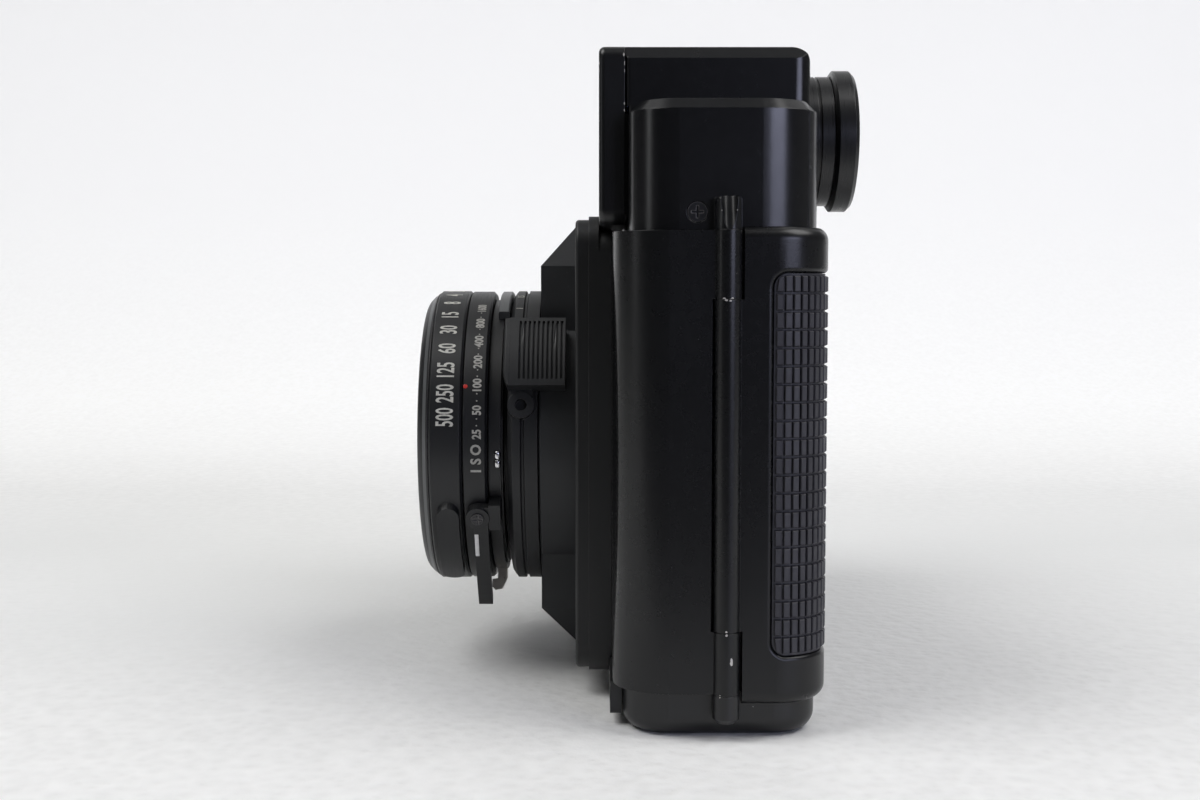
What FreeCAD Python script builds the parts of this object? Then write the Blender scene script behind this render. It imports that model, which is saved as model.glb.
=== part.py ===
import FreeCAD, Part
import math
import os

# Compact medium format roll film camera, 6 x 4.5 cm, fixed wide lens.
# Millimetres. +Z up, lens points to -Y, door hinge at +X.
# Origin: mouth of the tripod socket in the bottom face, under the lens axis.

# ---------------------------------------------------------------- dimensions
BODY_X0, BODY_X1 = -82.0, 64.0      # outer faces of the shell halves
BODY_Y0, BODY_Y1 = -18.45, 17.15    # front face, rear face of the door
SHELL_Z0, SHELL_Z1 = 7.8, 83.2      # front cover, bottom and top seam
DOOR_Z0, DOOR_Z1 = 5.8, 83.9        # rear door laps over both seams
CORNER_R = 9.0                      # plan corner radius of the shell
WALL = 1.6                          # cover wall thickness
FLANGE = 2.95                       # inward flange of the front cover
PAD_D, PAD_R, PAD_EDGE = 0.95, 2.4, 0.75   # rubber pad recess: depth, corner radius, edge radius
PAD_Y0, PAD_Z0 = 7.3, 14.0          # its front and bottom limits

CORE_X0, CORE_X1 = -79.0, 61.0      # chassis plan
CORE_Y0, CORE_Y1 = -15.5, 14.8
CHAMBER_Z0, CHAMBER_Z1 = 10.2, 79.0 # inside height of the film chambers
CHAMBER_R = 13.9                    # film chamber radius
SUPPLY_X, TAKEUP_X, SPOOL_Y = 46.2, -52.0, -0.6
GATE_W, GATE_H = 41.5, 56.0         # film gate
GATE_Y = 6.8                        # rear face of the gate wall
RAIL_T = 1.0                        # film rail height
ROLLER_X, ROLLER_Y, ROLLER_R = 29.2, 4.6, 3.0

COVER_X0, COVER_X1 = -79.0, 61.9    # top and bottom cover plan
TOP_Y0, TOP_Y1 = -15.8, 15.6
TOP_R = 10.0                        # plan radius of its rear left corner
TOP_Z1 = 104.5                      # top cover, left part
DECK_Z = 99.5                       # top cover, right deck
DECK_X = -16.0                      # step between the two
BASE_Y0, BASE_Y1 = -16.8, 15.5
BASE_R = 3.2                        # bottom edge radius

HOUSE_X0, HOUSE_X1 = -12.0, 50.0    # viewfinder housing
HOUSE_Y0, HOUSE_Y1 = -16.4, 15.0
HOUSE_Z1 = 114.6
HOUSE_EDGE, HOUSE_BACK_R = 2.1, 3.2 # top edge chamfer, rear top edge radius
COVER_EDGE = 1.7                    # top cover, edge chamfer
BEZEL_Y0 = -20.8
BEZEL_Z0 = 84.7
EYE_X, EYE_Z = 30.0, 100.5          # eyepiece axis
EYE_NECK_R, EYE_RING_R = 11.55, 12.6
EYE_NECK_Y1, EYE_RING_Y1 = 20.5, 24.5

AXIS_Z = 44.6                       # lens axis height
PANEL_HW = 38.0                     # lens panel half width
PANEL_Y0, PANEL_Y1 = -25.0, -22.6   # front layer, rear layer fronts
BLOCK_HW = 19.5                     # lens block half width
BLOCK_Y0 = -31.8
BARREL_R = 29.0
BASE_BARREL_Y0 = -32.0              # fixed foot of the barrel
FOCUS_Y0 = -37.8
TAB_A0, TAB_A1 = 21.0, 47.0         # focusing tab, angles up from +X
TUBE_R = 25.5                       # helicoid tube outside
SLEEVE_R = 22.0                     # moving sleeve outside
HUB_R = 26.0                        # seat of the setting rings
RING_FIT = 0.05                     # running clearance of the rings
LENS_Y0 = -54.7
FILTER_R = 24.1                     # filter thread, minor radius
THREAD_WALL_R = 24.7                # bore of the barrel behind the thread

HINGE_X, HINGE_Y, HINGE_R = 63.4, 0.0, 2.2
HINGE_PIN_R = 0.8
HINGE_Z0, HINGE_Z1 = 18.2, 72.1     # door knuckle breaks
HINGE_GAP = 0.35

LEVER_X, LEVER_Y = -52.0, -0.6      # advance lever axis
RELEASE_X, RELEASE_Y = -28.0, -6.0
COUNTER_X, COUNTER_Y = -31.0, 7.2
BATTERY_X = -69.0
SHOE_X = 4.0

SOCKET_R, SOCKET_L = 2.55, 5.5      # tripod socket

V = FreeCAD.Vector
OUT = {}


# ------------------------------------------------------------------- helpers
def box(x0, y0, z0, x1, y1, z1):
    return Part.makeBox(x1 - x0, y1 - y0, z1 - z0, V(x0, y0, z0))


def cyl(r, x, y, z0, z1):
    return Part.makeCylinder(r, z1 - z0, V(x, y, z0), V(0, 0, 1))


def cyl_y(r, x, z, y0, y1):
    return Part.makeCylinder(r, y1 - y0, V(x, y0, z), V(0, 1, 0))


def cyl_x(r, y, z, x0, x1):
    return Part.makeCylinder(r, x1 - x0, V(x0, y, z), V(1, 0, 0))


def fuse(*parts):
    s = parts[0]
    for p in parts[1:]:
        s = s.fuse(p)
    return s.removeSplitter()


def cut(s, *tools):
    for t in tools:
        s = s.cut(t)
    return s


def outline(points, radii, place):
    """Closed wire of straight runs with rounded corners; place maps (u, v) to a point."""
    n = len(points)
    tangents = []
    for i in range(n):
        p0, p1, p2 = points[i - 1], points[i], points[(i + 1) % n]
        r = radii[i]
        a = (p0[0] - p1[0], p0[1] - p1[1])
        b = (p2[0] - p1[0], p2[1] - p1[1])
        la, lb = math.hypot(*a), math.hypot(*b)
        a = (a[0] / la, a[1] / la)
        b = (b[0] / lb, b[1] / lb)
        if r <= 0:
            tangents.append((p1, None, p1))
            continue
        half = math.acos(max(-1, min(1, a[0] * b[0] + a[1] * b[1]))) / 2
        d = r / math.tan(half)
        bis = (a[0] + b[0], a[1] + b[1])
        lbis = math.hypot(*bis)
        c = (p1[0] + bis[0] / lbis * r / math.sin(half), p1[1] + bis[1] / lbis * r / math.sin(half))
        m = (c[0] - bis[0] / lbis * r, c[1] - bis[1] / lbis * r)
        tangents.append(((p1[0] + a[0] * d, p1[1] + a[1] * d), m, (p1[0] + b[0] * d, p1[1] + b[1] * d)))
    edges = []
    for i in range(n):
        start, mid, end = tangents[i]
        if mid is not None:
            edges.append(Part.Arc(place(*start), place(*mid), place(*end)).toShape())
        nxt = tangents[(i + 1) % n][0]
        if math.hypot(nxt[0] - end[0], nxt[1] - end[1]) > 1e-6:
            edges.append(Part.makeLine(place(*end), place(*nxt)))
    return Part.Wire(edges)


def plan(x0, y0, x1, y1, z0, z1, r):
    """Upright prism on a rounded rectangle; r is one radius or four (front left, front right, rear right, rear left)."""
    radii = [r] * 4 if not isinstance(r, (list, tuple)) else list(r)
    w = outline([(x0, y0), (x1, y0), (x1, y1), (x0, y1)], radii, lambda u, v: V(u, v, z0))
    return Part.Face(w).extrude(V(0, 0, z1 - z0))


def front(x0, z0, x1, z1, y0, y1, r):
    """Prism along Y on a rounded rectangle in X and Z."""
    radii = [r] * 4 if not isinstance(r, (list, tuple)) else list(r)
    w = outline([(x0, z0), (x1, z0), (x1, z1), (x0, z1)], radii, lambda u, v: V(u, y0, v))
    return Part.Face(w).extrude(V(0, y1 - y0, 0))


def side(y0, z0, y1, z1, x0, x1, r):
    """Prism along X on a rounded rectangle in Y and Z."""
    radii = [r] * 4 if not isinstance(r, (list, tuple)) else list(r)
    w = outline([(y0, z0), (y1, z0), (y1, z1), (y0, z1)], radii, lambda u, v: V(x0, u, v))
    return Part.Face(w).extrude(V(x1 - x0, 0, 0))


def prism(points, place, vec):
    w = Part.makePolygon([place(*p) for p in points + [points[0]]])
    return Part.Face(w).extrude(vec)


def turned(profile, x=0.0, z=AXIS_Z):
    """Solid of revolution about the line along Y through (x, z); profile is a list of (y, r)."""
    pts = [V(x, y, z + r) for y, r in profile]
    pts.append(pts[0])
    return Part.Face(Part.makePolygon(pts)).revolve(V(x, 0, z), V(0, 1, 0), 360)


def turned_z(profile, x, y):
    """Solid of revolution about the upright line through (x, y); profile is a list of (z, r)."""
    pts = [V(x + r, y, z) for z, r in profile]
    pts.append(pts[0])
    return Part.Face(Part.makePolygon(pts)).revolve(V(x, y, 0), V(0, 0, 1), 360)


def rounded(s, r, keep):
    edges = [e for e in s.Edges if keep(e)]
    return s.makeFillet(r, edges)


def chamfered(s, r, keep):
    edges = [e for e in s.Edges if keep(e)]
    return s.makeChamfer(r, edges)


def flat_at(e, axis, value, tol=1e-4):
    b = e.BoundBox
    lo, hi = (b.XMin, b.XMax) if axis == "x" else (b.YMin, b.YMax) if axis == "y" else (b.ZMin, b.ZMax)
    return abs(lo - value) < tol and abs(hi - value) < tol


def spin_y(s, deg, x=0.0, z=AXIS_Z):
    c = s.copy()
    c.rotate(V(x, 0, z), V(0, 1, 0), deg)
    return c


def around(deg, r):
    """Point on the lens barrel, angle up from +X."""
    a = math.radians(deg)
    return r * math.cos(a), AXIS_Z + r * math.sin(a)


def sector(r0, r1, a0, a1, y0, y1):
    """Piece of a ring about the lens axis, angles up from +X."""
    p = [around(a0, r0), around((a0 + a1) / 2, r0), around(a1, r0)]
    q = [around(a0, r1), around((a0 + a1) / 2, r1), around(a1, r1)]
    f = lambda c: V(c[0], y0, c[1])
    edges = [
        Part.Arc(f(p[0]), f(p[1]), f(p[2])).toShape(),
        Part.makeLine(f(p[2]), f(q[2])),
        Part.Arc(f(q[2]), f(q[1]), f(q[0])).toShape(),
        Part.makeLine(f(q[0]), f(p[0])),
    ]
    return Part.Face(Part.Wire(edges)).extrude(V(0, y1 - y0, 0))


def skin_gap(p, x0, y0, x1, y1, r):
    """Distance in plan from point p to the outline of an upright rounded box."""
    cx, cy, hx, hy = (x0 + x1) / 2, (y0 + y1) / 2, (x1 - x0) / 2 - r, (y1 - y0) / 2 - r
    dx, dy = abs(p.x - cx) - hx, abs(p.y - cy) - hy
    return abs(math.hypot(max(dx, 0), max(dy, 0)) + min(max(dx, dy), 0) - r)


def keep(name, shape):
    OUT[name] = shape


# ------------------------------------------------------------------- chassis
def chassis():
    plates = fuse(
        plan(CORE_X0, CORE_Y0, CORE_X1, CORE_Y1, CHAMBER_Z1, SHELL_Z1 - 0.05, 6.2),
        plan(CORE_X0, CORE_Y0, CORE_X1, CORE_Y1, SHELL_Z0 + 0.05, CHAMBER_Z0, 6.2),
    )
    mid = plan(-68.0, CORE_Y0, CORE_X1, GATE_Y, CHAMBER_Z0 - 1, CHAMBER_Z1 + 1, [2.0, 6.2, 0.5, 0.5])
    s = plates.fuse(mid)
    # end wall at the grip side and a rear rib that carries the latch keeper
    s = s.fuse(box(-79.0, -8.5, CHAMBER_Z0 - 1, -77.4, 8.5, CHAMBER_Z1 + 1))
    s = s.removeSplitter()
    for x in (SUPPLY_X, TAKEUP_X):
        s = s.cut(cyl(CHAMBER_R, x, SPOOL_Y, CHAMBER_Z0, CHAMBER_Z1))
        s = s.cut(box(x - CHAMBER_R, SPOOL_Y, CHAMBER_Z0, x + CHAMBER_R, 16.0, CHAMBER_Z1))
    # light tunnel and film gate
    s = s.cut(box(-24.0, -16.0, AXIS_Z - 31.0, 24.0, GATE_Y - 1.5, AXIS_Z + 31.0))
    s = s.cut(front(-GATE_W / 2, AXIS_Z - GATE_H / 2, GATE_W / 2, AXIS_Z + GATE_H / 2, 3.0, 10.0, 0.8))
    for sx in (-1, 1):
        # roller pockets
        s = s.cut(cyl(ROLLER_R + 0.35, sx * ROLLER_X, ROLLER_Y, CHAMBER_Z0, CHAMBER_Z1))
        s = s.cut(box(sx * ROLLER_X - 3.35, ROLLER_Y, CHAMBER_Z0, sx * ROLLER_X + 3.35, 16.0, CHAMBER_Z1))
        # roller pivot holes
        s = s.cut(cyl(1.05, sx * ROLLER_X, ROLLER_Y, CHAMBER_Z0 - 1.6, CHAMBER_Z0 + 1))
        s = s.cut(cyl(1.05, sx * ROLLER_X, ROLLER_Y, CHAMBER_Z1 - 1, CHAMBER_Z1 + 2.0))
    # spool centre holes: drive shaft above, studs below
    s = s.cut(cyl(3.05, TAKEUP_X, SPOOL_Y, CHAMBER_Z1 - 1, SHELL_Z1 + 1))
    for x in (SUPPLY_X, TAKEUP_X):
        s = s.cut(cyl(2.85, x, SPOOL_Y, SHELL_Z0 - 1, CHAMBER_Z0 + 1))
    # pivot hole of the frame counter
    s = s.cut(cyl(1.26, COUNTER_X, COUNTER_Y, 80.6, SHELL_Z1 + 1))
    # grooves for the light seal strips in the rear edges of both plates
    s = s.cut(box(-72.0, CORE_Y1 - 1.0, 80.6, 54.0, CORE_Y1 + 1, 82.0))
    s = s.cut(box(-72.0, CORE_Y1 - 1.0, 8.4, 54.0, CORE_Y1 + 1, 9.6))
    # relief for the latch bolt, and the keeper it slides in front of
    s = s.cut(box(-80.0, -9.0, 39.0, -78.2, 9.0, 60.0))
    s = s.fuse(box(-79.3, 7.9, 54.8, -77.8, 8.5, 59.0))
    rails = []
    for z in (AXIS_Z - 30.6, AXIS_Z + 29.0):
        rails.append(side(GATE_Y, z, GATE_Y + RAIL_T, z + 1.6, -25.0, 25.0, 0.3))
    for sx in (-1, 1):
        x = sx * 23.4
        rails.append(plan(x - 0.7, GATE_Y, x + 0.7, GATE_Y + 0.75, AXIS_Z - 28.6, AXIS_Z + 28.6, 0.2))
    for r in rails:
        s = s.fuse(r)
    keep("chassis", s.removeSplitter())

    # tapered baffle between lens and gate
    def frame_wire(w, h, y):
        return Part.makePolygon(
            [V(-w, y, AXIS_Z - h), V(w, y, AXIS_Z - h), V(w, y, AXIS_Z + h), V(-w, y, AXIS_Z + h), V(-w, y, AXIS_Z - h)]
        )

    outer = Part.makeLoft([frame_wire(17.6, 22.0, -14.6), frame_wire(22.4, 29.6, 5.2)], True, True)
    inner = Part.makeLoft([frame_wire(16.6, 21.0, -16.0), frame_wire(21.5, 28.7, 6.0)], True, True)
    flange = box(-23.8, -15.4, AXIS_Z - 30.8, 23.8, -14.4, AXIS_Z + 30.8)
    keep("light_baffle", cut(outer.fuse(flange), inner).removeSplitter())

    seal_top = box(-71.9, CORE_Y1 - 0.95, 80.65, 53.9, CORE_Y1 + 0.0, 81.95)
    seal_bot = box(-71.9, CORE_Y1 - 0.95, 8.45, 53.9, CORE_Y1 + 0.0, 9.55)
    keep("light_seal", Part.makeCompound([seal_top, seal_bot]))


# -------------------------------------------------------------------- covers
def front_cover():
    x0, x1, y0 = BODY_X0, BODY_X1, BODY_Y0
    R = CORNER_R
    outer = plan(x0, y0, x1, BODY_Y1, SHELL_Z0, SHELL_Z1, R)
    grip = plan(x0 + 0.6, -25.4, -43.5, y0 + 3, 10.0, 80.5, [7.5, 7.0, 0.5, 0.5])
    grip = rounded(grip, 2.4, lambda e: (flat_at(e, "z", 10.0) or flat_at(e, "z", 80.5)) and e.BoundBox.YMin < y0)
    outer = outer.fuse(grip).removeSplitter()
    hollow = plan(x0 + WALL, y0 + WALL, x1 - WALL, BODY_Y1 - WALL, SHELL_Z0 + WALL, SHELL_Z1 - WALL, R - WALL)
    grip_in = plan(x0 + 0.6 + WALL, -25.4 + WALL, -43.5 - WALL, y0 + 4, 10.0 + WALL, 80.5 - WALL, [6, 5.5, 0.3, 0.3])
    throat = plan(
        x0 + FLANGE, y0 + FLANGE - 0.05, x1 - FLANGE + 0.05, BODY_Y1, SHELL_Z0 - 1, SHELL_Z1 + 1, R - FLANGE
    )
    s = cut(outer, hollow, grip_in, throat)
    # only the half in front of the hinge line; at the door knuckle it steps back
    s = s.cut(box(x0 - 1, -0.1, 0, x1 - 8, 30, 90))
    s = s.cut(box(x1 - 8, 0.0, 0, x1 + 1, 30, 90))
    s = s.cut(box(x1 - 8, -HINGE_R - HINGE_GAP, HINGE_Z0 - 0.1, x1 + 1, 1, HINGE_Z1 + 0.1))
    # window behind the lens panel
    s = s.cut(front(-33.0, 12.5, 33.0, 77.5, y0 - 1, y0 + 8, 3.0))
    # shallow finger recess along the hinge side front edge
    rr = 680.0
    s = s.cut(Part.makeCylinder(rr, 30.0, V(40.0, y0 - rr + 0.9, 45.0), V(1, 0, 0)))
    # fixed hinge knuckles
    for z0, z1 in ((SHELL_Z0, HINGE_Z0 - 0.1), (HINGE_Z1 + 0.1, SHELL_Z1)):
        s = s.fuse(cyl(HINGE_R, HINGE_X, HINGE_Y, z0, z1))
    s = s.removeSplitter()
    s = s.cut(cyl(HINGE_PIN_R + 0.02, HINGE_X, HINGE_Y, 0, 100))
    # seat of the lower strap lug
    s = s.cut(cyl_x(1.5, -9.0, 20.0, x0 - 1, x0 + 4))
    keep("front_cover", s)

    # ribbed rubber on the grip
    pad = plan(x0 + 3.2, -26.5, -46.5, -25.42, 14.0, 76.5, 0.4)
    ribs = []
    z = 16.0
    while z < 75.0:
        ribs.append(box(x0 + 2.0, -27.0, z, -45.0, -26.1, z + 0.8))
        z += 2.6
    pad = pad.cut(Part.makeCompound(ribs))
    keep("grip_rubber", pad)


def bottom_cover():
    s = plan(COVER_X0, BASE_Y0, COVER_X1, BASE_Y1, 0, SHELL_Z0 - 0.05, 7.5)
    s = rounded(s, BASE_R, lambda e: flat_at(e, "z", 0))
    s = s.cut(
        plan(COVER_X0 + WALL, BASE_Y0 + WALL, COVER_X1 - WALL, BASE_Y1 - WALL, 1.9, 10, 5.9)
    )
    # fixed knuckle end of the hinge
    k = cyl(HINGE_R, HINGE_X, HINGE_Y, 3.0, SHELL_Z0 - 0.05)
    k = chamfered(k, 0.8, lambda e: flat_at(e, "z", 3.0))
    s = s.fuse(k).removeSplitter()
    s = s.cut(cyl(HINGE_PIN_R + 0.02, HINGE_X, HINGE_Y, 4.0, 20))
    # tripod bush, spool studs, battery cap
    s = s.cut(cyl(5.0, 0, 0, -1, 5))
    for x in (SUPPLY_X, TAKEUP_X):
        s = s.cut(cyl(8.1, x, SPOOL_Y, -1, 5))
    s = s.cut(cyl(7.6, BATTERY_X, 0, -1, 5))
    # screw seats
    for x, y in ((24, -10), (24, 10), (-26, -10), (-26, 10)):
        s = s.cut(cyl(1.15, x, y, -1, 5)).cut(cyl(2.05, x, y, -1, 1.0))
    keep("bottom_cover", s)

    bush = cyl(4.95, 0, 0, 0, 7.6).fuse(cyl(8.0, 0, 0, 1.92, 3.6)).removeSplitter()
    bush = bush.cut(cyl(SOCKET_R, 0, 0, -1, SOCKET_L))
    bush = chamfered(bush, 0.25, lambda e: flat_at(e, "z", 0) and e.BoundBox.XMax > 3 )
    keep("tripod_socket", bush)

    plate = front(-40.0, 1.9, 55.0, SHELL_Z0 - 0.1, -18.9, -16.85, [1.2, 1.2, 0.2, 0.2])
    keep("lower_front_plate", plate)


def top_cover():
    tall = plan(DECK_X - 6, TOP_Y0, COVER_X1, TOP_Y1, SHELL_Z1 + 0.1, TOP_Z1, [0, 8.0, TOP_R, 0])
    low = plan(COVER_X0, TOP_Y0, DECK_X + 2, TOP_Y1, SHELL_Z1 + 0.1, DECK_Z, [8.0, 0.3, 0.3, 8.0])
    tall = chamfered(tall, COVER_EDGE, lambda e: flat_at(e, "z", TOP_Z1) and e.BoundBox.XMax > DECK_X)
    tall = tall.common(box(DECK_X, -30, 0, 80, 30, 120))
    low = rounded(low, 1.0, lambda e: flat_at(e, "z", DECK_Z) and e.BoundBox.XMin < DECK_X)
    # plinth under the viewfinder housing
    plinth = plan(HOUSE_X0, TOP_Y0 + 0.02, HOUSE_X1, HOUSE_Y1 - 0.02, TOP_Z1 - 1.8, TOP_Z1, [0.5, 0.5, 2.7, 2.7])
    s = tall.fuse(plinth).fuse(low).removeSplitter()
    s = s.cut(plan(DECK_X + WALL, TOP_Y0 + WALL, COVER_X1 - WALL, TOP_Y1 - WALL, 80, TOP_Z1 - WALL, [0.3, 6.4, TOP_R - WALL, 0.3]))
    s = s.cut(plan(COVER_X0 + WALL, TOP_Y0 + WALL, DECK_X + WALL + 1, TOP_Y1 - WALL, 80, DECK_Z - WALL, [6.4, 0.3, 0.3, 6.4]))
    # fine parting groove down the rear left corner
    a = math.radians(52)
    gx, gy = COVER_X1 - TOP_R + TOP_R * math.cos(a), TOP_Y1 - TOP_R + TOP_R * math.sin(a)
    ux, uy = math.cos(a), math.sin(a)
    quad = [(0.3, -0.12), (0.3, 0.12), (-0.2, 0.12), (-0.2, -0.12)]
    s = s.cut(prism([(gx + ux * d - uy * w, gy + uy * d + ux * w) for d, w in quad], lambda u, v: V(u, v, 80), V(0, 0, TOP_Z1 - COVER_EDGE - 80)))
    # hinge end cap with a slanted scoop
    k = cyl(HINGE_R, HINGE_X, HINGE_Y, SHELL_Z1 + 0.1, 88.6)
    k = k.fuse(box(COVER_X1 - 1.0, -HINGE_R, SHELL_Z1 + 0.1, HINGE_X, HINGE_R, 88.6)).removeSplitter()
    k = rounded(k, 0.7, lambda e: flat_at(e, "z", 88.6) and e.BoundBox.XMax > COVER_X1)
    scoop = Part.makeCylinder(1.35, 12.0, V(HINGE_X + 3.4, HINGE_Y, 83.8), V(-0.36, 0, 0.933))
    k = k.cut(scoop)
    s = s.fuse(k).removeSplitter()
    s = s.cut(cyl(HINGE_PIN_R + 0.02, HINGE_X, HINGE_Y, 80, 85.0))
    # opening under the viewfinder housing, windows in the front wall
    s = s.cut(plan(HOUSE_X0 + 2.5, TOP_Y0 + WALL - 0.05, HOUSE_X1 - 2.5, HOUSE_Y1 - 1.4, TOP_Z1 - 3, TOP_Z1 + 3, 1.0))
    s = s.cut(front(EYE_X - 13.0, 92.0, EYE_X + 13.0, TOP_Z1 - 2.0, TOP_Y0 - 1, TOP_Y0 + 3, 0.5))
    s = s.cut(front(-7.0, 92.0, 12.0, TOP_Z1 - 2.0, TOP_Y0 - 1, TOP_Y0 + 3, 0.5))
    s = s.cut(cyl_y(EYE_NECK_R + 0.1, EYE_X, EYE_Z, 12.0, 18.0))
    # deck holes: lever shaft, release, counter
    s = s.cut(cyl(3.2, LEVER_X, LEVER_Y, 90, 110))
    s = s.cut(cyl(4.3, RELEASE_X, RELEASE_Y, 90, 110))
    s = s.cut(cyl(2.6, COUNTER_X, COUNTER_Y + 4.0, 90, 110))
    s = s.cut(cyl(3.3, COUNTER_X, COUNTER_Y + 4.0, DECK_Z - 0.8, 110))
    # side screw seats
    s = s.cut(cyl_x(1.75, -4.9, 86.2, COVER_X1 - 0.9, COVER_X1 + 1)).cut(cyl_x(0.9, -4.9, 86.2, COVER_X1 - 3, COVER_X1 + 1))
    s = s.cut(cyl_x(1.75, -4.9, 86.2, COVER_X0 - 1, COVER_X0 + 0.9)).cut(cyl_x(0.9, -4.9, 86.2, COVER_X0 - 1, COVER_X0 + 3))
    # strap lug foot
    s = s.cut(cyl_x(1.5, 4.0, 92.0, COVER_X0 - 1, COVER_X0 + 3))
    keep("top_cover", s)


def screws():
    def cross(z, up):
        return None

    heads = []

    def head_z(x, y):
        h = cyl(1.95, x, y, 0.12, 0.98).fuse(cyl(1.05, x, y, 0.9, 4.6)).removeSplitter()
        h = h.cut(box(x - 1.2, y - 0.22, 0, x + 1.2, y + 0.22, 0.62)).cut(box(x - 0.22, y - 1.2, 0, x + 0.22, y + 1.2, 0.62))
        return h

    for x, y in ((24, -10), (24, 10), (-26, -10), (-26, 10)):
        heads.append(head_z(x, y))

    def head_x(x, sgn):
        y, z = -4.9, 86.2
        a, b = (x - 0.85, x - 0.1) if sgn > 0 else (x + 0.1, x + 0.85)
        h = cyl_x(1.6, y, z, a, b)
        c, d = (x - 3.2, x - 0.8) if sgn > 0 else (x + 0.8, x + 3.2)
        h = h.fuse(cyl_x(0.8, y, z, c, d)).removeSplitter()
        e, f = (x - 0.55, x + 1) if sgn > 0 else (x - 1, x + 0.55)
        t1 = box(e, y - 1.0, z - 0.2, f, y + 1.0, z + 0.2)
        t2 = box(e, y - 0.2, z - 1.0, f, y + 0.2, z + 1.0)
        return h.cut(t1).cut(t2)

    heads.append(head_x(COVER_X1, 1))
    heads.append(head_x(COVER_X0, -1))
    keep("cover_screws", Part.makeCompound(heads))


def lugs():
    def lug(x, y, z):
        post = cyl_x(1.45, y, z, x, x + 4.0)
        eye = front(x - 6.2, z - 3.2, x, z + 3.2, y - 0.8, y + 0.8, [3.1, 0.4, 0.4, 3.1])
        s = post.fuse(eye).fuse(cyl_x(2.4, y, z, x - 0.9, x - 0.05)).removeSplitter()
        return s.cut(cyl_y(1.8, x - 3.2, z, y - 3, y + 3))

    low = lug(BODY_X0, -9.0, 20.0).common(box(-100, -20, 0, BODY_X0 + 2.4, 20, 40))
    keep("strap_lugs", Part.makeCompound([lug(COVER_X0, 4.0, 92.0), low]))


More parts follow.
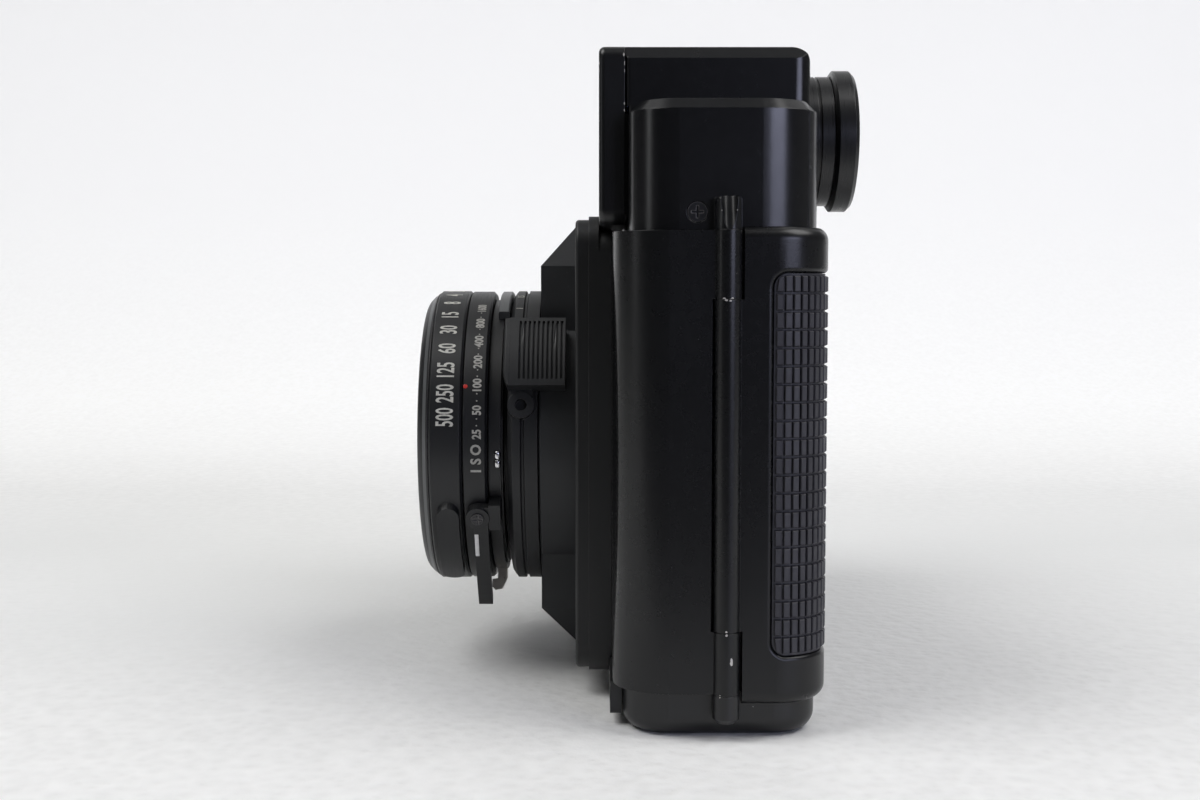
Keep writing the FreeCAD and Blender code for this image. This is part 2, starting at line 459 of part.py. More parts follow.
# -------------------------------------------------------------------- finder
def finder():
    z0, z1, c = TOP_Z1 + 0.02, HOUSE_Z1, HOUSE_EDGE
    s = plan(HOUSE_X0, HOUSE_Y0, HOUSE_X1, HOUSE_Y1, z0, z1, [0.6, 1.0, 2.7, 2.7])
    s = s.common(side(HOUSE_Y0 - 1, z0 - 1, HOUSE_Y1, z1, HOUSE_X0 - 1, HOUSE_X1 + 1, [0, 0, HOUSE_BACK_R, 0]))
    roof = [(HOUSE_X0, z0), (HOUSE_X1, z0), (HOUSE_X1, z1 - c), (HOUSE_X1 - c, z1), (HOUSE_X0 + c, z1), (HOUSE_X0, z1 - c)]
    s = s.common(prism(roof, lambda u, v: V(u, HOUSE_Y0 - 1, v), V(0, 40, 0)))
    # shoe recess in the top, open to the rear
    rec = box(SHOE_X - 11.3, -7.0, 110.3, SHOE_X + 11.3, 20, 120)
    inner = plan(HOUSE_X0 + WALL, HOUSE_Y0 + WALL, HOUSE_X1 - WALL, HOUSE_Y1 - WALL, 100, HOUSE_Z1 - WALL, 1.2)
    inner = inner.cut(box(SHOE_X - 12.6, -8.4, 108.9, SHOE_X + 12.6, 20, 120))
    s = s.cut(rec).cut(inner)
    s = s.cut(front(EYE_X - 12.0, 100.0, EYE_X + 12.0, 110.6, HOUSE_Y0 - 1, HOUSE_Y0 + 3, 0.5))
    s = s.cut(front(-6.0, 100.0, 11.0, 107.5, HOUSE_Y0 - 1, HOUSE_Y0 + 3, 0.5))
    s = s.cut(cyl_y(9.0, EYE_X, EYE_Z, 10.0, 18.0)).cut(cyl_y(EYE_NECK_R + 0.1, EYE_X, EYE_Z, 14.95, 18.0))
    keep("viewfinder_housing", s)

    b = front(HOUSE_X0, BEZEL_Z0, HOUSE_X1, HOUSE_Z1, BEZEL_Y0, HOUSE_Y0 - 0.03, [2.5, 2.5, 2.0, 2.0])
    b = rounded(b, 1.0, lambda e: flat_at(e, "y", BEZEL_Y0))
    # seat over the top cover front
    b = b.fuse(box(HOUSE_X0 + 2.0, HOUSE_Y0 - 0.5, 86.5, HOUSE_X1 - 2.0, TOP_Y0 - 0.03, 103.5)).removeSplitter()
    b = b.cut(front(EYE_X - 10.5, 93.5, EYE_X + 10.5, 109.5, -30, -10, 1.5))
    b = b.cut(front(EYE_X - 12.0, 92.0, EYE_X + 12.0, 111.0, BEZEL_Y0 - 1, BEZEL_Y0 + 1.2, 2.0))
    b = b.cut(front(-5.5, 95.0, 10.5, 106.5, -30, -10, 1.2))
    b = b.cut(front(-6.7, 93.8, 11.7, 107.7, BEZEL_Y0 - 1, BEZEL_Y0 + 1.2, 1.6))
    b = b.cut(cyl_y(2.2, EYE_X - 15.0, 90.5, BEZEL_Y0 - 1, BEZEL_Y0 + 1.6))
    keep("finder_bezel", b)

    w = front(EYE_X - 11.9, 92.1, EYE_X + 11.9, 110.9, BEZEL_Y0 + 0.25, BEZEL_Y0 + 1.17, 1.9)
    keep("finder_window", w)
    w = front(-6.6, 93.9, 11.6, 107.6, BEZEL_Y0 + 0.25, BEZEL_Y0 + 1.17, 1.5)
    keep("frame_line_window", w)

    # tapering tube from the front window to the eyepiece
    def rect(w, h, y, zc):
        return Part.makePolygon(
            [V(EYE_X - w, y, zc - h), V(EYE_X + w, y, zc - h), V(EYE_X + w, y, zc + h), V(EYE_X - w, y, zc + h), V(EYE_X - w, y, zc - h)]
        )

    a = Part.makeLoft([rect(11.5, 8.3, -14.0, 101.0), rect(9.2, 8.2, 13.0, EYE_Z)], True, True)
    c = Part.makeLoft([rect(10.5, 7.3, -15.0, 101.0), rect(8.0, 7.0, 14.0, EYE_Z)], True, True)
    keep("finder_tube", a.cut(c))

    neck = turned(
        [
            (15.0, 8.8), (15.0, EYE_NECK_R), (17.6, EYE_NECK_R), (17.6, 11.1), (18.2, 11.1),
            (18.2, EYE_NECK_R), (20.3, EYE_NECK_R), (20.3, 11.2), (EYE_NECK_Y1 - 0.02, 11.2), (EYE_NECK_Y1 - 0.02, 8.2),
            (20.0, 8.2), (20.0, 8.8),
        ],
        EYE_X, EYE_Z,
    )
    keep("eyepiece_mount", neck)
    ring = turned(
        [
            (EYE_NECK_Y1, 8.0), (EYE_NECK_Y1, 11.7), (EYE_NECK_Y1 + 0.6, EYE_RING_R), (23.8, EYE_RING_R), (EYE_RING_Y1, 11.9),
            (EYE_RING_Y1, 10.2), (22.6, 9.2), (22.6, 8.0),
        ],
        EYE_X, EYE_Z,
    )
    keep("eyepiece_ring", ring)
    g = turned([(17.6, 0.0), (17.6, 8.75), (19.9, 8.75), (19.9, 7.0), (20.2, 5.0), (20.5, 2.5), (20.6, 0.0)], EYE_X, EYE_Z)
    keep("eyepiece_glass", g)


def shoe():
    z0 = 110.32
    x0, x1 = SHOE_X - 11.1, SHOE_X + 11.1
    s = box(x0, -6.8, z0, x1, 13.6, z0 + 0.8)
    for sgn in (-1, 1):
        xo = SHOE_X + sgn * 11.1
        xi = SHOE_X + sgn * 9.4
        a, b = sorted((xo, xi))
        s = s.fuse(box(a, -6.8, z0, b, 13.6, 114.0))
        a, b = sorted((xo, SHOE_X + sgn * 6.9))
        s = s.fuse(box(a, -6.8, 113.15, b, 13.6, 114.0))
    s = s.fuse(box(x0, -6.8, z0, x1, -5.6, 112.9))
    s = s.removeSplitter()
    s = s.cut(cyl(2.3, SHOE_X, 3.6, 100, 120).common(box(-50, -50, z0 - 1, 50, 50, z0 + 1)))
    keep("hot_shoe", s)
    keep("shoe_contact", cyl(2.1, SHOE_X, 3.6, z0 - 0.0, z0 + 0.78).fuse(cyl(1.1, SHOE_X, 3.6, z0 + 0.7, z0 + 1.0)).removeSplitter())


# ---------------------------------------------------------------------- lens
def lens_front():
    # lens panel: two layers, hollow behind
    p = front(-PANEL_HW, 4.8, PANEL_HW, 86.3, PANEL_Y0, PANEL_Y1 + 0.2, 5.0)
    p = rounded(p, 0.6, lambda e: flat_at(e, "y", PANEL_Y0))
    q = front(-PANEL_HW - 0.7, 4.3, PANEL_HW + 0.7, 86.9, PANEL_Y1, -20.8, 5.6)
    q2 = front(-PANEL_HW - 0.7, 4.3, PANEL_HW + 0.7, 84.4, -20.9, BODY_Y0 - 0.03, [5.6, 5.6, 4.0, 4.0])
    s = p.fuse(q).fuse(q2).removeSplitter()
    s = s.cut(front(-PANEL_HW + 1.3, 9.5, PANEL_HW - 1.3, 82.0, -22.7, -18, 3.0))
    s = s.cut(cyl_y(25.6, 0, AXIS_Z, -26, -10))
    s = s.cut(box(-41.0, -18.95, 0, 56.0, -18, SHELL_Z0 - 0.05))
    keep("lens_panel", s)

    # lens block: upright strip with bevelled ends and facets, and the round foot of the barrel
    zt, zb, ztr, zbr = 78.3, 12.7, 86.1, 5.0
    w, wr = BLOCK_HW, 14.5
    yf, yr = BLOCK_Y0, PANEL_Y0 - 0.02
    P = {
        "a": V(-w, yf, zb), "b": V(w, yf, zb), "c": V(w, yf, zt), "d": V(-w, yf, zt),
        "e": V(-w, yr, zb), "f": V(w, yr, zb), "g": V(w, yr, zt), "h": V(-w, yr, zt),
        "i": V(-wr, yr, ztr), "j": V(wr, yr, ztr), "k": V(-wr, yr, zbr), "l": V(wr, yr, zbr),
    }
    faces = ["abcd", "bfgc", "aehd", "dcji", "ablk", "cgj", "dhi", "bfl", "aek", "ekl f h g j i"]

    def face(names):
        pts = [P[c] for c in names]
        return Part.Face(Part.makePolygon(pts + [pts[0]]))

    shell = [face(list(f)) for f in faces[:-1]]
    shell.append(face(["e", "k", "l", "f", "g", "j", "i", "h"]))
    strip = Part.makeSolid(Part.makeShell(shell))
    if strip.Volume < 0:
        strip.reverse()
    foot = turned([(BASE_BARREL_Y0, 25.55), (BASE_BARREL_Y0, 28.6), (BASE_BARREL_Y0 + 0.4, BARREL_R), (yr, BARREL_R), (yr, 25.55)])
    s = strip.fuse(foot).removeSplitter()
    s = s.cut(cyl_y(25.55, 0, AXIS_Z, -40, -20))
    keep("lens_block", s)

    # helicoid tube and its flange behind the panel
    s = turned(
        [
            (-38.0, SLEEVE_R + RING_FIT), (-38.0, 24.9), (-37.4, TUBE_R), (-22.58, TUBE_R), (-22.58, 30.0), (-20.6, 30.0),
            (-20.6, 26.5), (-19.0, 26.5), (-19.0, SLEEVE_R + RING_FIT),
        ]
    )
    keep("helicoid_tube", s)

    # focus ring with its ribbed tab
    s = turned(
        [
            (FOCUS_Y0, TUBE_R + RING_FIT), (FOCUS_Y0, 27.7), (-37.3, 28.5), (-36.9, BARREL_R), (-35.4, BARREL_R), (-35.2, 28.5), (-34.8, 28.5),
            (-34.6, BARREL_R), (BASE_BARREL_Y0 - 0.15, BARREL_R), (BASE_BARREL_Y0 - 0.15, TUBE_R + RING_FIT),
        ]
    )
    tab = sector(27.0, 32.8, TAB_A0, TAB_A1, FOCUS_Y0 + 0.3, -32.3)
    over = sector(BARREL_R + 0.35, 32.8, TAB_A0, TAB_A1, -32.4, -27.0)
    tab = tab.fuse(over).removeSplitter()
    # ribs cut in the outer face of the tab
    y = -35.6
    while y < -27.8:
        tab = tab.cut(sector(32.35, 34.0, TAB_A0 + 2.2, TAB_A1 - 1.6, y, y + 0.4))
        y += 0.86
    # lower boss with a hole, in front of the tab
    bx, bz = around(15.5, 29.3)
    n = V(math.cos(math.radians(15.5)), 0, math.sin(math.radians(15.5)))
    boss = Part.makeCylinder(2.5, 3.2, V(bx, -35.2, bz) - n * 2.4, n)
    web = sector(27.0, 30.0, 14.0, 22.0, -37.4, -33.0)
    s = s.fuse(tab).fuse(web).fuse(boss).removeSplitter()
    s = s.cut(Part.makeCylinder(1.1, 6.0, V(bx, -35.2, bz) - n * 0.6, n))
    s = s.cut(cyl_y(TUBE_R + RING_FIT, 0, AXIS_Z, -40, -20))
    keep("focus_ring", s)

    # moving lens barrel
    s = turned(
        [
            (-52.5, THREAD_WALL_R), (-52.5, HUB_R), (-38.8, HUB_R), (-38.8, SLEEVE_R), (-24.0, SLEEVE_R), (-24.0, 20.0), (-40.3, 20.0),
            (-40.3, THREAD_WALL_R),
        ]
    )
    keep("lens_barrel", s)

    # front ring with the filter thread
    s = turned(
        [
            (LENS_Y0, FILTER_R), (LENS_Y0, 26.6), (LENS_Y0 + 0.35, 27.2), (-53.5, 28.1), (-53.3, 28.35), (-52.95, 28.35), (-52.9, 28.55),
            (-52.52, 28.7), (-52.52, HUB_R + 0.1), (-52.52, THREAD_WALL_R - 0.01), (-50.9, THREAD_WALL_R - 0.01), (-50.9, FILTER_R),
        ]
    )
    keep("filter_ring", s)
    # cone between the filter thread and the front glass
    s = turned(
        [(-50.85, 21.5), (-50.85, THREAD_WALL_R - 0.1), (-49.6, THREAD_WALL_R - 0.1), (-49.3, 22.0), (-48.2, 20.0), (-47.05, 20.0), (-47.05, 11.9), (-48.7, 11.9), (-48.9, 14.0)]
    )
    keep("name_ring", s)
    # front glass, convex
    g = Part.makeSphere(26.0, V(0, -49.6 + 26.0, AXIS_Z)).common(cyl_y(11.85, 0, AXIS_Z, -52, -45.4))
    keep("front_glass", g)

    # shutter: case with blade chamber, rear cell
    case = turned(
        [
            (-47.0, 12.2), (-47.0, THREAD_WALL_R - 0.05), (-40.35, THREAD_WALL_R - 0.05), (-40.35, 19.9), (-38.0, 19.9), (-38.0, 13.0), (-33.0, 13.0), (-33.0, 10.3),
            (-39.2, 10.3), (-39.2, 6.2), (-42.6, 6.2), (-42.6, 20.5), (-44.8, 20.5), (-44.8, 6.2), (-45.3, 6.2), (-45.3, 12.2),
        ]
    )
    for k in range(5):
        a = math.radians(-10 + 72 * k)
        x, z = 10.0 * math.cos(a), AXIS_Z + 10.0 * math.sin(a)
        case = case.fuse(cyl_y(0.5, x, z, -45.0, -42.4))
    keep("shutter_case", case.removeSplitter())
    g = turned([(-39.1, 0.0), (-39.1, 10.2), (-34.6, 10.2), (-34.1, 8.0), (-33.7, 5.0), (-33.5, 0.0)])
    keep("rear_glass", g)

    # five shutter blades, one layer each, closed at rest
    for k in range(5):
        y0 = -44.62 + 0.4 * k
        pts = [(-0.7 * math.cos(math.radians(36)), -0.7 * math.sin(math.radians(36)))]
        for i in range(13):
            a = math.radians(-5 + 82 * i / 12)
            pts.append((7.0 * math.cos(a), 7.0 * math.sin(a)))
        blade = prism(pts, lambda u, v: V(u, y0, AXIS_Z + v), V(0, 0.22, 0))
        px, pz = 10.0 * math.cos(math.radians(-10)), 10.0 * math.sin(math.radians(-10))
        tail = prism([(6.0, -1.6), (px - 0.2, pz - 1.3), (px + 0.4, pz + 1.25), (6.6, 2.2)], lambda u, v: V(u, y0, AXIS_Z + v), V(0, 0.22, 0))
        eye = cyl_y(1.3, px, AXIS_Z + pz, y0, y0 + 0.22)
        # trimmed so that it swings past the next pivot pin
        blade = blade.common(cyl_y(11.1, px, AXIS_Z + pz, y0 - 1, y0 + 1))
        blade = blade.fuse(tail).fuse(eye).removeSplitter().cut(cyl_y(0.56, px, AXIS_Z + pz, y0 - 1, y0 + 1))
        keep("shutter_blade_%d" % (k + 1), spin_y(blade, -72 * k))


def setting_rings():
    # film speed ring
    s = turned(
        [
            (-46.15, HUB_R + RING_FIT), (-46.15, 28.5), (-45.9, 28.9), (-42.0, 28.9), (-41.55, 28.4), (-41.55, HUB_R + RING_FIT),
        ]
    )
    keep("iso_ring", s)
    # shutter speed ring with two finger lugs
    s = turned(
        [
            (-52.45, HUB_R + RING_FIT), (-52.45, 28.6), (-52.1, BARREL_R), (-46.7, BARREL_R), (-46.25, 28.6), (-46.25, HUB_R + RING_FIT),
        ]
    )
    for mid in (-42.5, -137.5):
        n = V(math.cos(math.radians(mid)), 0, math.sin(math.radians(mid)))
        t = V(-n.z, 0, n.x)
        r, reach = 2.1, 10.6
        pts = []
        for k in range(13):
            a = math.radians(-90 + 15 * k)
            pts.append((reach - r + r * math.cos(a), -49.05 + r * math.sin(a)))
        for k in range(13):
            a = math.radians(90 + 15 * k)
            pts.append((r - reach + r * math.cos(a), -49.05 + r * math.sin(a)))
        pill = prism(pts, lambda u, v: V(0, v, AXIS_Z) + t * u + n * 20, n * 14)
        s = s.fuse(sector(28.0, 30.4, mid - 30, mid + 30, -52.0, -46.8).common(pill))
    keep("speed_ring", s.removeSplitter())

    # aperture ring with its lever
    s = turned([(-41.3, HUB_R + RING_FIT), (-41.3, 27.2), (-39.1, 27.2), (-39.1, HUB_R + RING_FIT)])
    arm = sector(26.6, 31.2, -30.0, -20.0, -41.3, -39.1)
    n = V(math.cos(math.radians(-25)), 0, math.sin(math.radians(-25)))
    bx, bz = around(-25, 29.35)
    boss = Part.makeCylinder(2.2, 2.1, V(bx, -43.35, bz), n)
    bridge = sector(29.35, 31.0, -29.0, -21.0, -44.0, -39.1)
    # finger piece: follows the barrel, then stands away from it
    outer = []
    inner = []
    for i in range(9):
        t = i / 8.0
        a = -27.0 - 36.5 * t
        r = 29.4 + 4.6 * t * t
        outer.append((a, r + 1.9 - 0.3 * t))
        inner.append((a, r))
    pts = [around(a, r) for a, r in inner] + [around(a, r) for a, r in reversed(outer)]
    finger = prism(pts, lambda u, v: V(u, -44.15, v), V(0, 2.7, 0))
    s = s.fuse(arm).fuse(bridge).fuse(boss).fuse(finger).removeSplitter()
    keep("aperture_lever", s)


def sync_socket():
    n = V(math.cos(math.radians(200)), 0, math.sin(math.radians(200)))
    x, z = around(200, 28.9)
    base = Part.makeCylinder(3.0, 2.6, V(x, -28.6, z) + n * 0.15, n)
    bore = Part.makeCylinder(1.6, 3.0, V(x, -28.6, z) + n * 0.8, n)
    pin = Part.makeCylinder(0.5, 1.8, V(x, -28.6, z) + n * 0.7, n)
    keep("sync_socket", base.cut(bore).fuse(pin).removeSplitter())


# ------------------------------------------------------------ film transport
def transport():
    z0, z1 = 12.1, 77.1
    s = turned_z(
        [
            (z0, 3.2), (z0, 12.5), (z0 + 1.2, 12.5), (z0 + 1.2, 5.9), (z1 - 1.2, 5.9), (z1 - 1.2, 12.5), (z1, 12.5), (z1, 3.2),
        ],
        TAKEUP_X, SPOOL_Y,
    )
    # film slot through the core, key slots in the upper end
    s = s.cut(box(TAKEUP_X - 0.7, SPOOL_Y - 8, z0 + 6, TAKEUP_X + 0.7, SPOOL_Y + 8, z1 - 6))
    s = s.cut(box(TAKEUP_X - 4.4, SPOOL_Y - 0.65, z1 - 3.2, TAKEUP_X + 4.4, SPOOL_Y + 0.65, z1 + 1))
    keep("takeup_spool", s)
    s = cyl(3.0, TAKEUP_X, SPOOL_Y, 75.2, 103.4)
    s = s.fuse(box(TAKEUP_X - 4.2, SPOOL_Y - 0.5, 75.4, TAKEUP_X + 4.2, SPOOL_Y + 0.5, 78.6)).removeSplitter()
    # driven gear of the advance train
    g = turned_z([(85.0, 2.9), (85.0, 8.6), (88.0, 8.6), (88.0, 2.9)], TAKEUP_X, SPOOL_Y)
    teeth = []
    for i in range(24):
        t = box(-0.55, 8.3, 85.0, 0.55, 9.5, 88.0)
        t.rotate(V(0, 0, 0), V(0, 0, 1), 15.0 * i)
        t.translate(V(TAKEUP_X, SPOOL_Y, 0))
        teeth.append(t)
    g = g.multiFuse(teeth)
    keep("takeup_shaft", s.fuse(g).removeSplitter())

    def stud(x):
        k = cyl(7.7, x, SPOOL_Y, 0.35, 3.2)
        k = chamfered(k, 0.5, lambda e: flat_at(e, "z", 0.35))
        grooves = []
        for i in range(24):
            t = cyl(0.55, x, SPOOL_Y - 7.95, 0, 4)
            t.rotate(V(x, SPOOL_Y, 0), V(0, 0, 1), 15.0 * i)
            grooves.append(t)
        k = k.cut(Part.makeCompound(grooves))
        k = k.cut(box(x - 4.5, SPOOL_Y - 0.7, 0, x + 4.5, SPOOL_Y + 0.7, 1.3))
        k = k.fuse(cyl(2.8, x, SPOOL_Y, 3.0, 14.6)).removeSplitter()
        return chamfered(k, 0.5, lambda e: flat_at(e, "z", 14.6))

    keep("supply_stud", stud(SUPPLY_X))
    keep("takeup_stud", stud(TAKEUP_X))

    for name, sx in (("guide_roller_supply", 1), ("guide_roller_takeup", -1)):
        x = sx * ROLLER_X
        s = turned_z(
            [
                (CHAMBER_Z0 - 1.4, 0.0), (CHAMBER_Z0 - 1.4, 1.0), (CHAMBER_Z0 + 0.4, 1.0), (CHAMBER_Z0 + 0.4, ROLLER_R),
                (AXIS_Z - 30.9, ROLLER_R), (AXIS_Z - 30.9, ROLLER_R - 0.35), (AXIS_Z + 30.9, ROLLER_R - 0.35), (AXIS_Z + 30.9, ROLLER_R),
                (CHAMBER_Z1 - 0.4, ROLLER_R), (CHAMBER_Z1 - 0.4, 1.0), (CHAMBER_Z1 + 1.8, 1.0), (CHAMBER_Z1 + 1.8, 0.0),
            ],
            x, ROLLER_Y,
        )
        keep(name, s)


# -------------------------------------------------------------- top controls
def controls():
    # advance lever: hub, arm along the rear edge, thumb end
    hub = turned_z([(DECK_Z + 0.2, 3.1), (DECK_Z + 0.2, 9.0), (104.4, 9.0), (104.9, 8.5), (104.9, 3.1)], LEVER_X, LEVER_Y)
    pts = []
    a0 = math.radians(163)
    # arm outline in the lever's own plane: u along the arm, v across
    rows = [(0, 5.4), (7, 4.9), (14, 4.1), (19, 3.8), (23, 4.2), (26, 4.1), (27.4, 2.8)]
    side1 = [(u, v) for u, v in rows]
    side2 = [(u, -v * 0.92) for u, v in reversed(rows)]
    bend = lambda u: 0.013 * u * u
    for u, v in side1 + side2:
        vv = v - bend(u)
        pts.append((LEVER_X + u * math.cos(a0) - vv * math.sin(a0), LEVER_Y + u * math.sin(a0) + vv * math.cos(a0)))
    arm = prism(pts, lambda u, v: V(u, v, 101.3), V(0, 0, 2.6))
    tip = cyl(4.0, LEVER_X + 24.0 * math.cos(a0) + 7.2 * math.sin(a0), LEVER_Y + 24.0 * math.sin(a0) - 7.2 * math.cos(a0), 100.4, 104.4)
    s = hub.fuse(arm).fuse(tip).removeSplitter()
    s = s.cut(cyl(3.1, LEVER_X, LEVER_Y, 90, 110))
    keep("advance_lever", s)
    c = cyl(7.6, LEVER_X, LEVER_Y, 104.92, 106.2)
    c = rounded(c, 0.5, lambda e: flat_at(e, "z", 106.2))
    for sgn in (-1, 1):
        c = c.cut(cyl(0.7, LEVER_X + sgn * 4.6, LEVER_Y, 105.4, 107))
    keep("lever_cap", c)

    # frame counter
    d = cyl(6.4, COUNTER_X, COUNTER_Y, 95.2, 96.2).fuse(cyl(1.2, COUNTER_X, COUNTER_Y, 81.0, 95.4)).removeSplitter()
    notches = []
    for i in range(20):
        t = box(-0.35, 5.8, 95.0, 0.35, 7.0, 96.5)
        t.rotate(V(0, 0, 0), V(0, 0, 1), 18.0 * i)
        t.translate(V(COUNTER_X, COUNTER_Y, 0))
        notches.append(t)
    keep("counter_dial", d.cut(Part.makeCompound(notches)))
    w = cyl(3.25, COUNTER_X, COUNTER_Y + 4.0, DECK_Z - 0.78, DECK_Z + 0.25)
    w = rounded(w, 0.35, lambda e: flat_at(e, "z", DECK_Z + 0.25))
    keep("counter_window", w)

    # release button, lock collar, spring
    b = turned_z(
        [
            (95.6, 1.6), (95.6, 5.4), (96.6, 5.4), (96.6, 4.2), (102.9, 4.2), (103.3, 3.8), (103.1, 2.2), (102.9, 1.2), (99.6, 1.2), (99.6, 1.6),
        ],
        RELEASE_X, RELEASE_Y,
    )
    keep("release_button", b)
    c = turned_z([(DECK_Z + 0.1, 4.35), (DECK_Z + 0.1, 7.2), (101.4, 7.2), (101.9, 6.6), (101.9, 4.7), (101.5, 4.35)], RELEASE_X, RELEASE_Y)
    grooves = []
    for i in range(30):
        t = cyl(0.32, RELEASE_X, RELEASE_Y - 7.3, 99, 101.2)
        t.rotate(V(RELEASE_X, RELEASE_Y, 0), V(0, 0, 1), 12.0 * i)
        grooves.append(t)
    c = c.cut(Part.makeCompound(grooves))
    keep("release_collar", c)
    helix = Part.makeHelix(2.2, 10.9, 3.6)
    prof = Part.Wire([Part.makeCircle(0.32, V(3.6, 0, 0), V(0, 1, 0))])
    coil = Part.Wire(helix.Edges).makePipeShell([prof], True, True)
    coil.translate(V(RELEASE_X, RELEASE_Y, 84.0))
    keep("release_spring", coil)

    # battery cap, coin slot
    s = cyl(7.5, BATTERY_X, 0, 0.3, 1.9)
    s = chamfered(s, 0.4, lambda e: flat_at(e, "z", 0.3))
    s = s.fuse(turned_z([(1.8, 5.0), (1.8, 6.6), (6.0, 6.6), (6.0, 5.0)], BATTERY_X, 0)).removeSplitter()
    s = s.cut(box(BATTERY_X - 5.2, -0.8, 0, BATTERY_X + 5.2, 0.8, 1.1))
    keep("battery_cap", s)


# ---------------------------------------------------------------------- door
def door():
    x0, x1, y1 = BODY_X0, BODY_X1, BODY_Y1
    R = CORNER_R
    outer = plan(x0, BODY_Y0, x1, y1, DOOR_Z0, DOOR_Z1, R)
    outer = rounded(outer, 2.2, lambda e: flat_at(e, "z", DOOR_Z0) or flat_at(e, "z", DOOR_Z1))
    inner = plan(x0 + WALL, BODY_Y0 + WALL, x1 - WALL, y1 - 2.05, SHELL_Z0 + 0.2, SHELL_Z1 - 0.2, R - WALL)
    lips = plan(x0 + WALL, BODY_Y0 + WALL, x1 - WALL, y1 - 1.25, DOOR_Z0 - 1, DOOR_Z1 + 1, R - WALL)
    lips = lips.cut(box(-100, -50, SHELL_Z0 + 0.2, 100, 50, SHELL_Z1 - 0.2))
    s = cut(outer, inner, lips)
    s = s.cut(box(x0 - 1, -50, 0, x1 - 8, 0.1, 100))
    s = s.cut(box(x1 - 8, -50, 0, x1 + 1, 0.0, 100))
    for z0, z1 in ((0, HINGE_Z0), (HINGE_Z1, 100)):
        s = s.cut(box(x1 - 8, -50, z0, x1 + 1, HINGE_R + HINGE_GAP, z1))
    s = s.fuse(cyl(HINGE_R, HINGE_X, HINGE_Y, HINGE_Z0, HINGE_Z1)).removeSplitter()
    s = s.cut(cyl(HINGE_PIN_R + 0.06, HINGE_X, HINGE_Y, 0, 100))
    # recess for the rubber pad: side and back
    pad_out = side(PAD_Y0, PAD_Z0, y1 + 5, 76.4, -74.0, x1 + 5, [PAD_R, 0, 0, PAD_R])
    pad_out = pad_out.common(front(-74.0, PAD_Z0, x1 + 5, 76.4, 0, 40, [PAD_R, 0, 0, PAD_R]))
    pad_core = plan(x0 + PAD_D, BODY_Y0 + PAD_D, x1 - PAD_D, y1 - PAD_D, 0, 100, R - PAD_D)
    rec = pad_out.cut(pad_core)
    s = s.cut(rec)
    # soft edge all round the recess
    rim = []
    for e in s.Edges:
        b = e.BoundBox
        if b.YMin < PAD_Y0 - 0.1 or b.ZMin < PAD_Z0 - 0.1 or b.ZMax > 76.5 or b.XMin < -74.1:
            continue
        m = e.valueAt((e.FirstParameter + e.LastParameter) / 2)
        if skin_gap(m, x0, BODY_Y0, x1, y1, R) < 0.01:
            rim.append(e)
    s = s.makeFillet(PAD_EDGE, rim)
    # slot for the latch stem
    s = s.cut(side(4.4, 42.5, 8.0, 55.0, x0 - 2, x0 + 3, 1.0))
    # studs for the pressure plate
    for dz in (-20.0, 20.0):
        s = s.fuse(cyl_y(1.6, 0, AXIS_Z + dz, 8.9, 15.2))
    keep("rear_door", s.removeSplitter())

    pad_skin = plan(x0 - 0.25, BODY_Y0 - 0.25, x1 + 0.25, y1 + 0.1, 0, 100, R + 0.2)
    pin = plan(x0 + PAD_D, BODY_Y0 + PAD_D, x1 - PAD_D, y1 - PAD_D, 0, 100, R - PAD_D)
    q = PAD_R - 0.1
    lim = side(PAD_Y0 + 0.1, PAD_Z0 + 0.1, y1 + 5, 76.3, -73.9, x1 + 5, [q, 0, 0, q])
    lim = lim.common(front(-73.9, PAD_Z0 + 0.1, x1 + 5, 76.3, 0, 40, [q, 0, 0, q]))
    pad = pad_skin.cut(pin).common(lim)
    keep("door_pad", pad)

    # pressure plate with dimpled rails
    p = front(-26.0, AXIS_Z - 32.0, 26.0, AXIS_Z + 32.0, 8.2, 9.5, 2.0)
    for dz in (-20.0, 20.0):
        p = p.cut(cyl_y(1.75, 0, AXIS_Z + dz, 8.0, 10.0))
    p = p.cut(front(-18.0, AXIS_Z - 31.0, -16.5, AXIS_Z + 31.0, 8.0, 8.45, 0.3))
    p = p.cut(front(16.5, AXIS_Z - 31.0, 18.0, AXIS_Z + 31.0, 8.0, 8.45, 0.3))
    keep("pressure_plate", p)

    # leaf springs behind the plate, bowed
    leaves = []
    for dz in (-12.0, 12.0):
        up, lo = [], []
        for i in range(13):
            x = -20.0 + 40.0 * i / 12
            y = 10.6 + 4.05 * (x / 20.0) ** 2
            up.append((x, y + 0.45))
            lo.append((x, y))
        pts = lo + list(reversed(up))
        leaves.append(prism(pts, lambda u, v: V(u, v, AXIS_Z + dz - 3.0), V(0, 0, 6.0)))
    keep("pressure_springs", Part.makeCompound(leaves))

    # latch: thumb piece outside, stem in the slot, bolt inside
    t = side(3.2, 41.5, 10.8, 53.5, x0 - 1.5, x0 - 0.1, 1.2)
    grooves = []
    z = 43.3
    while z < 52.0:
        grooves.append(box(x0 - 2.0, 3.8, z, x0 - 1.05, 10.2, z + 0.6))
        z += 1.5
    t = t.cut(Part.makeCompound(grooves))
    stem = side(4.7, 46.8, 7.7, 50.7, x0 - 0.5, x0 + 2.1, 0.8)
    bolt = box(x0 + 1.75, 3.0, 44.5, x0 + 2.6, 9.2, 53.0).fuse(box(x0 + 2.4, 4.6, 50.9, x0 + 3.45, 7.5, 53.0))
    keep("door_latch", t.fuse(stem).fuse(bolt).removeSplitter())

    keep("hinge_pin", cyl(HINGE_PIN_R, HINGE_X, HINGE_Y, 4.1, 84.9))


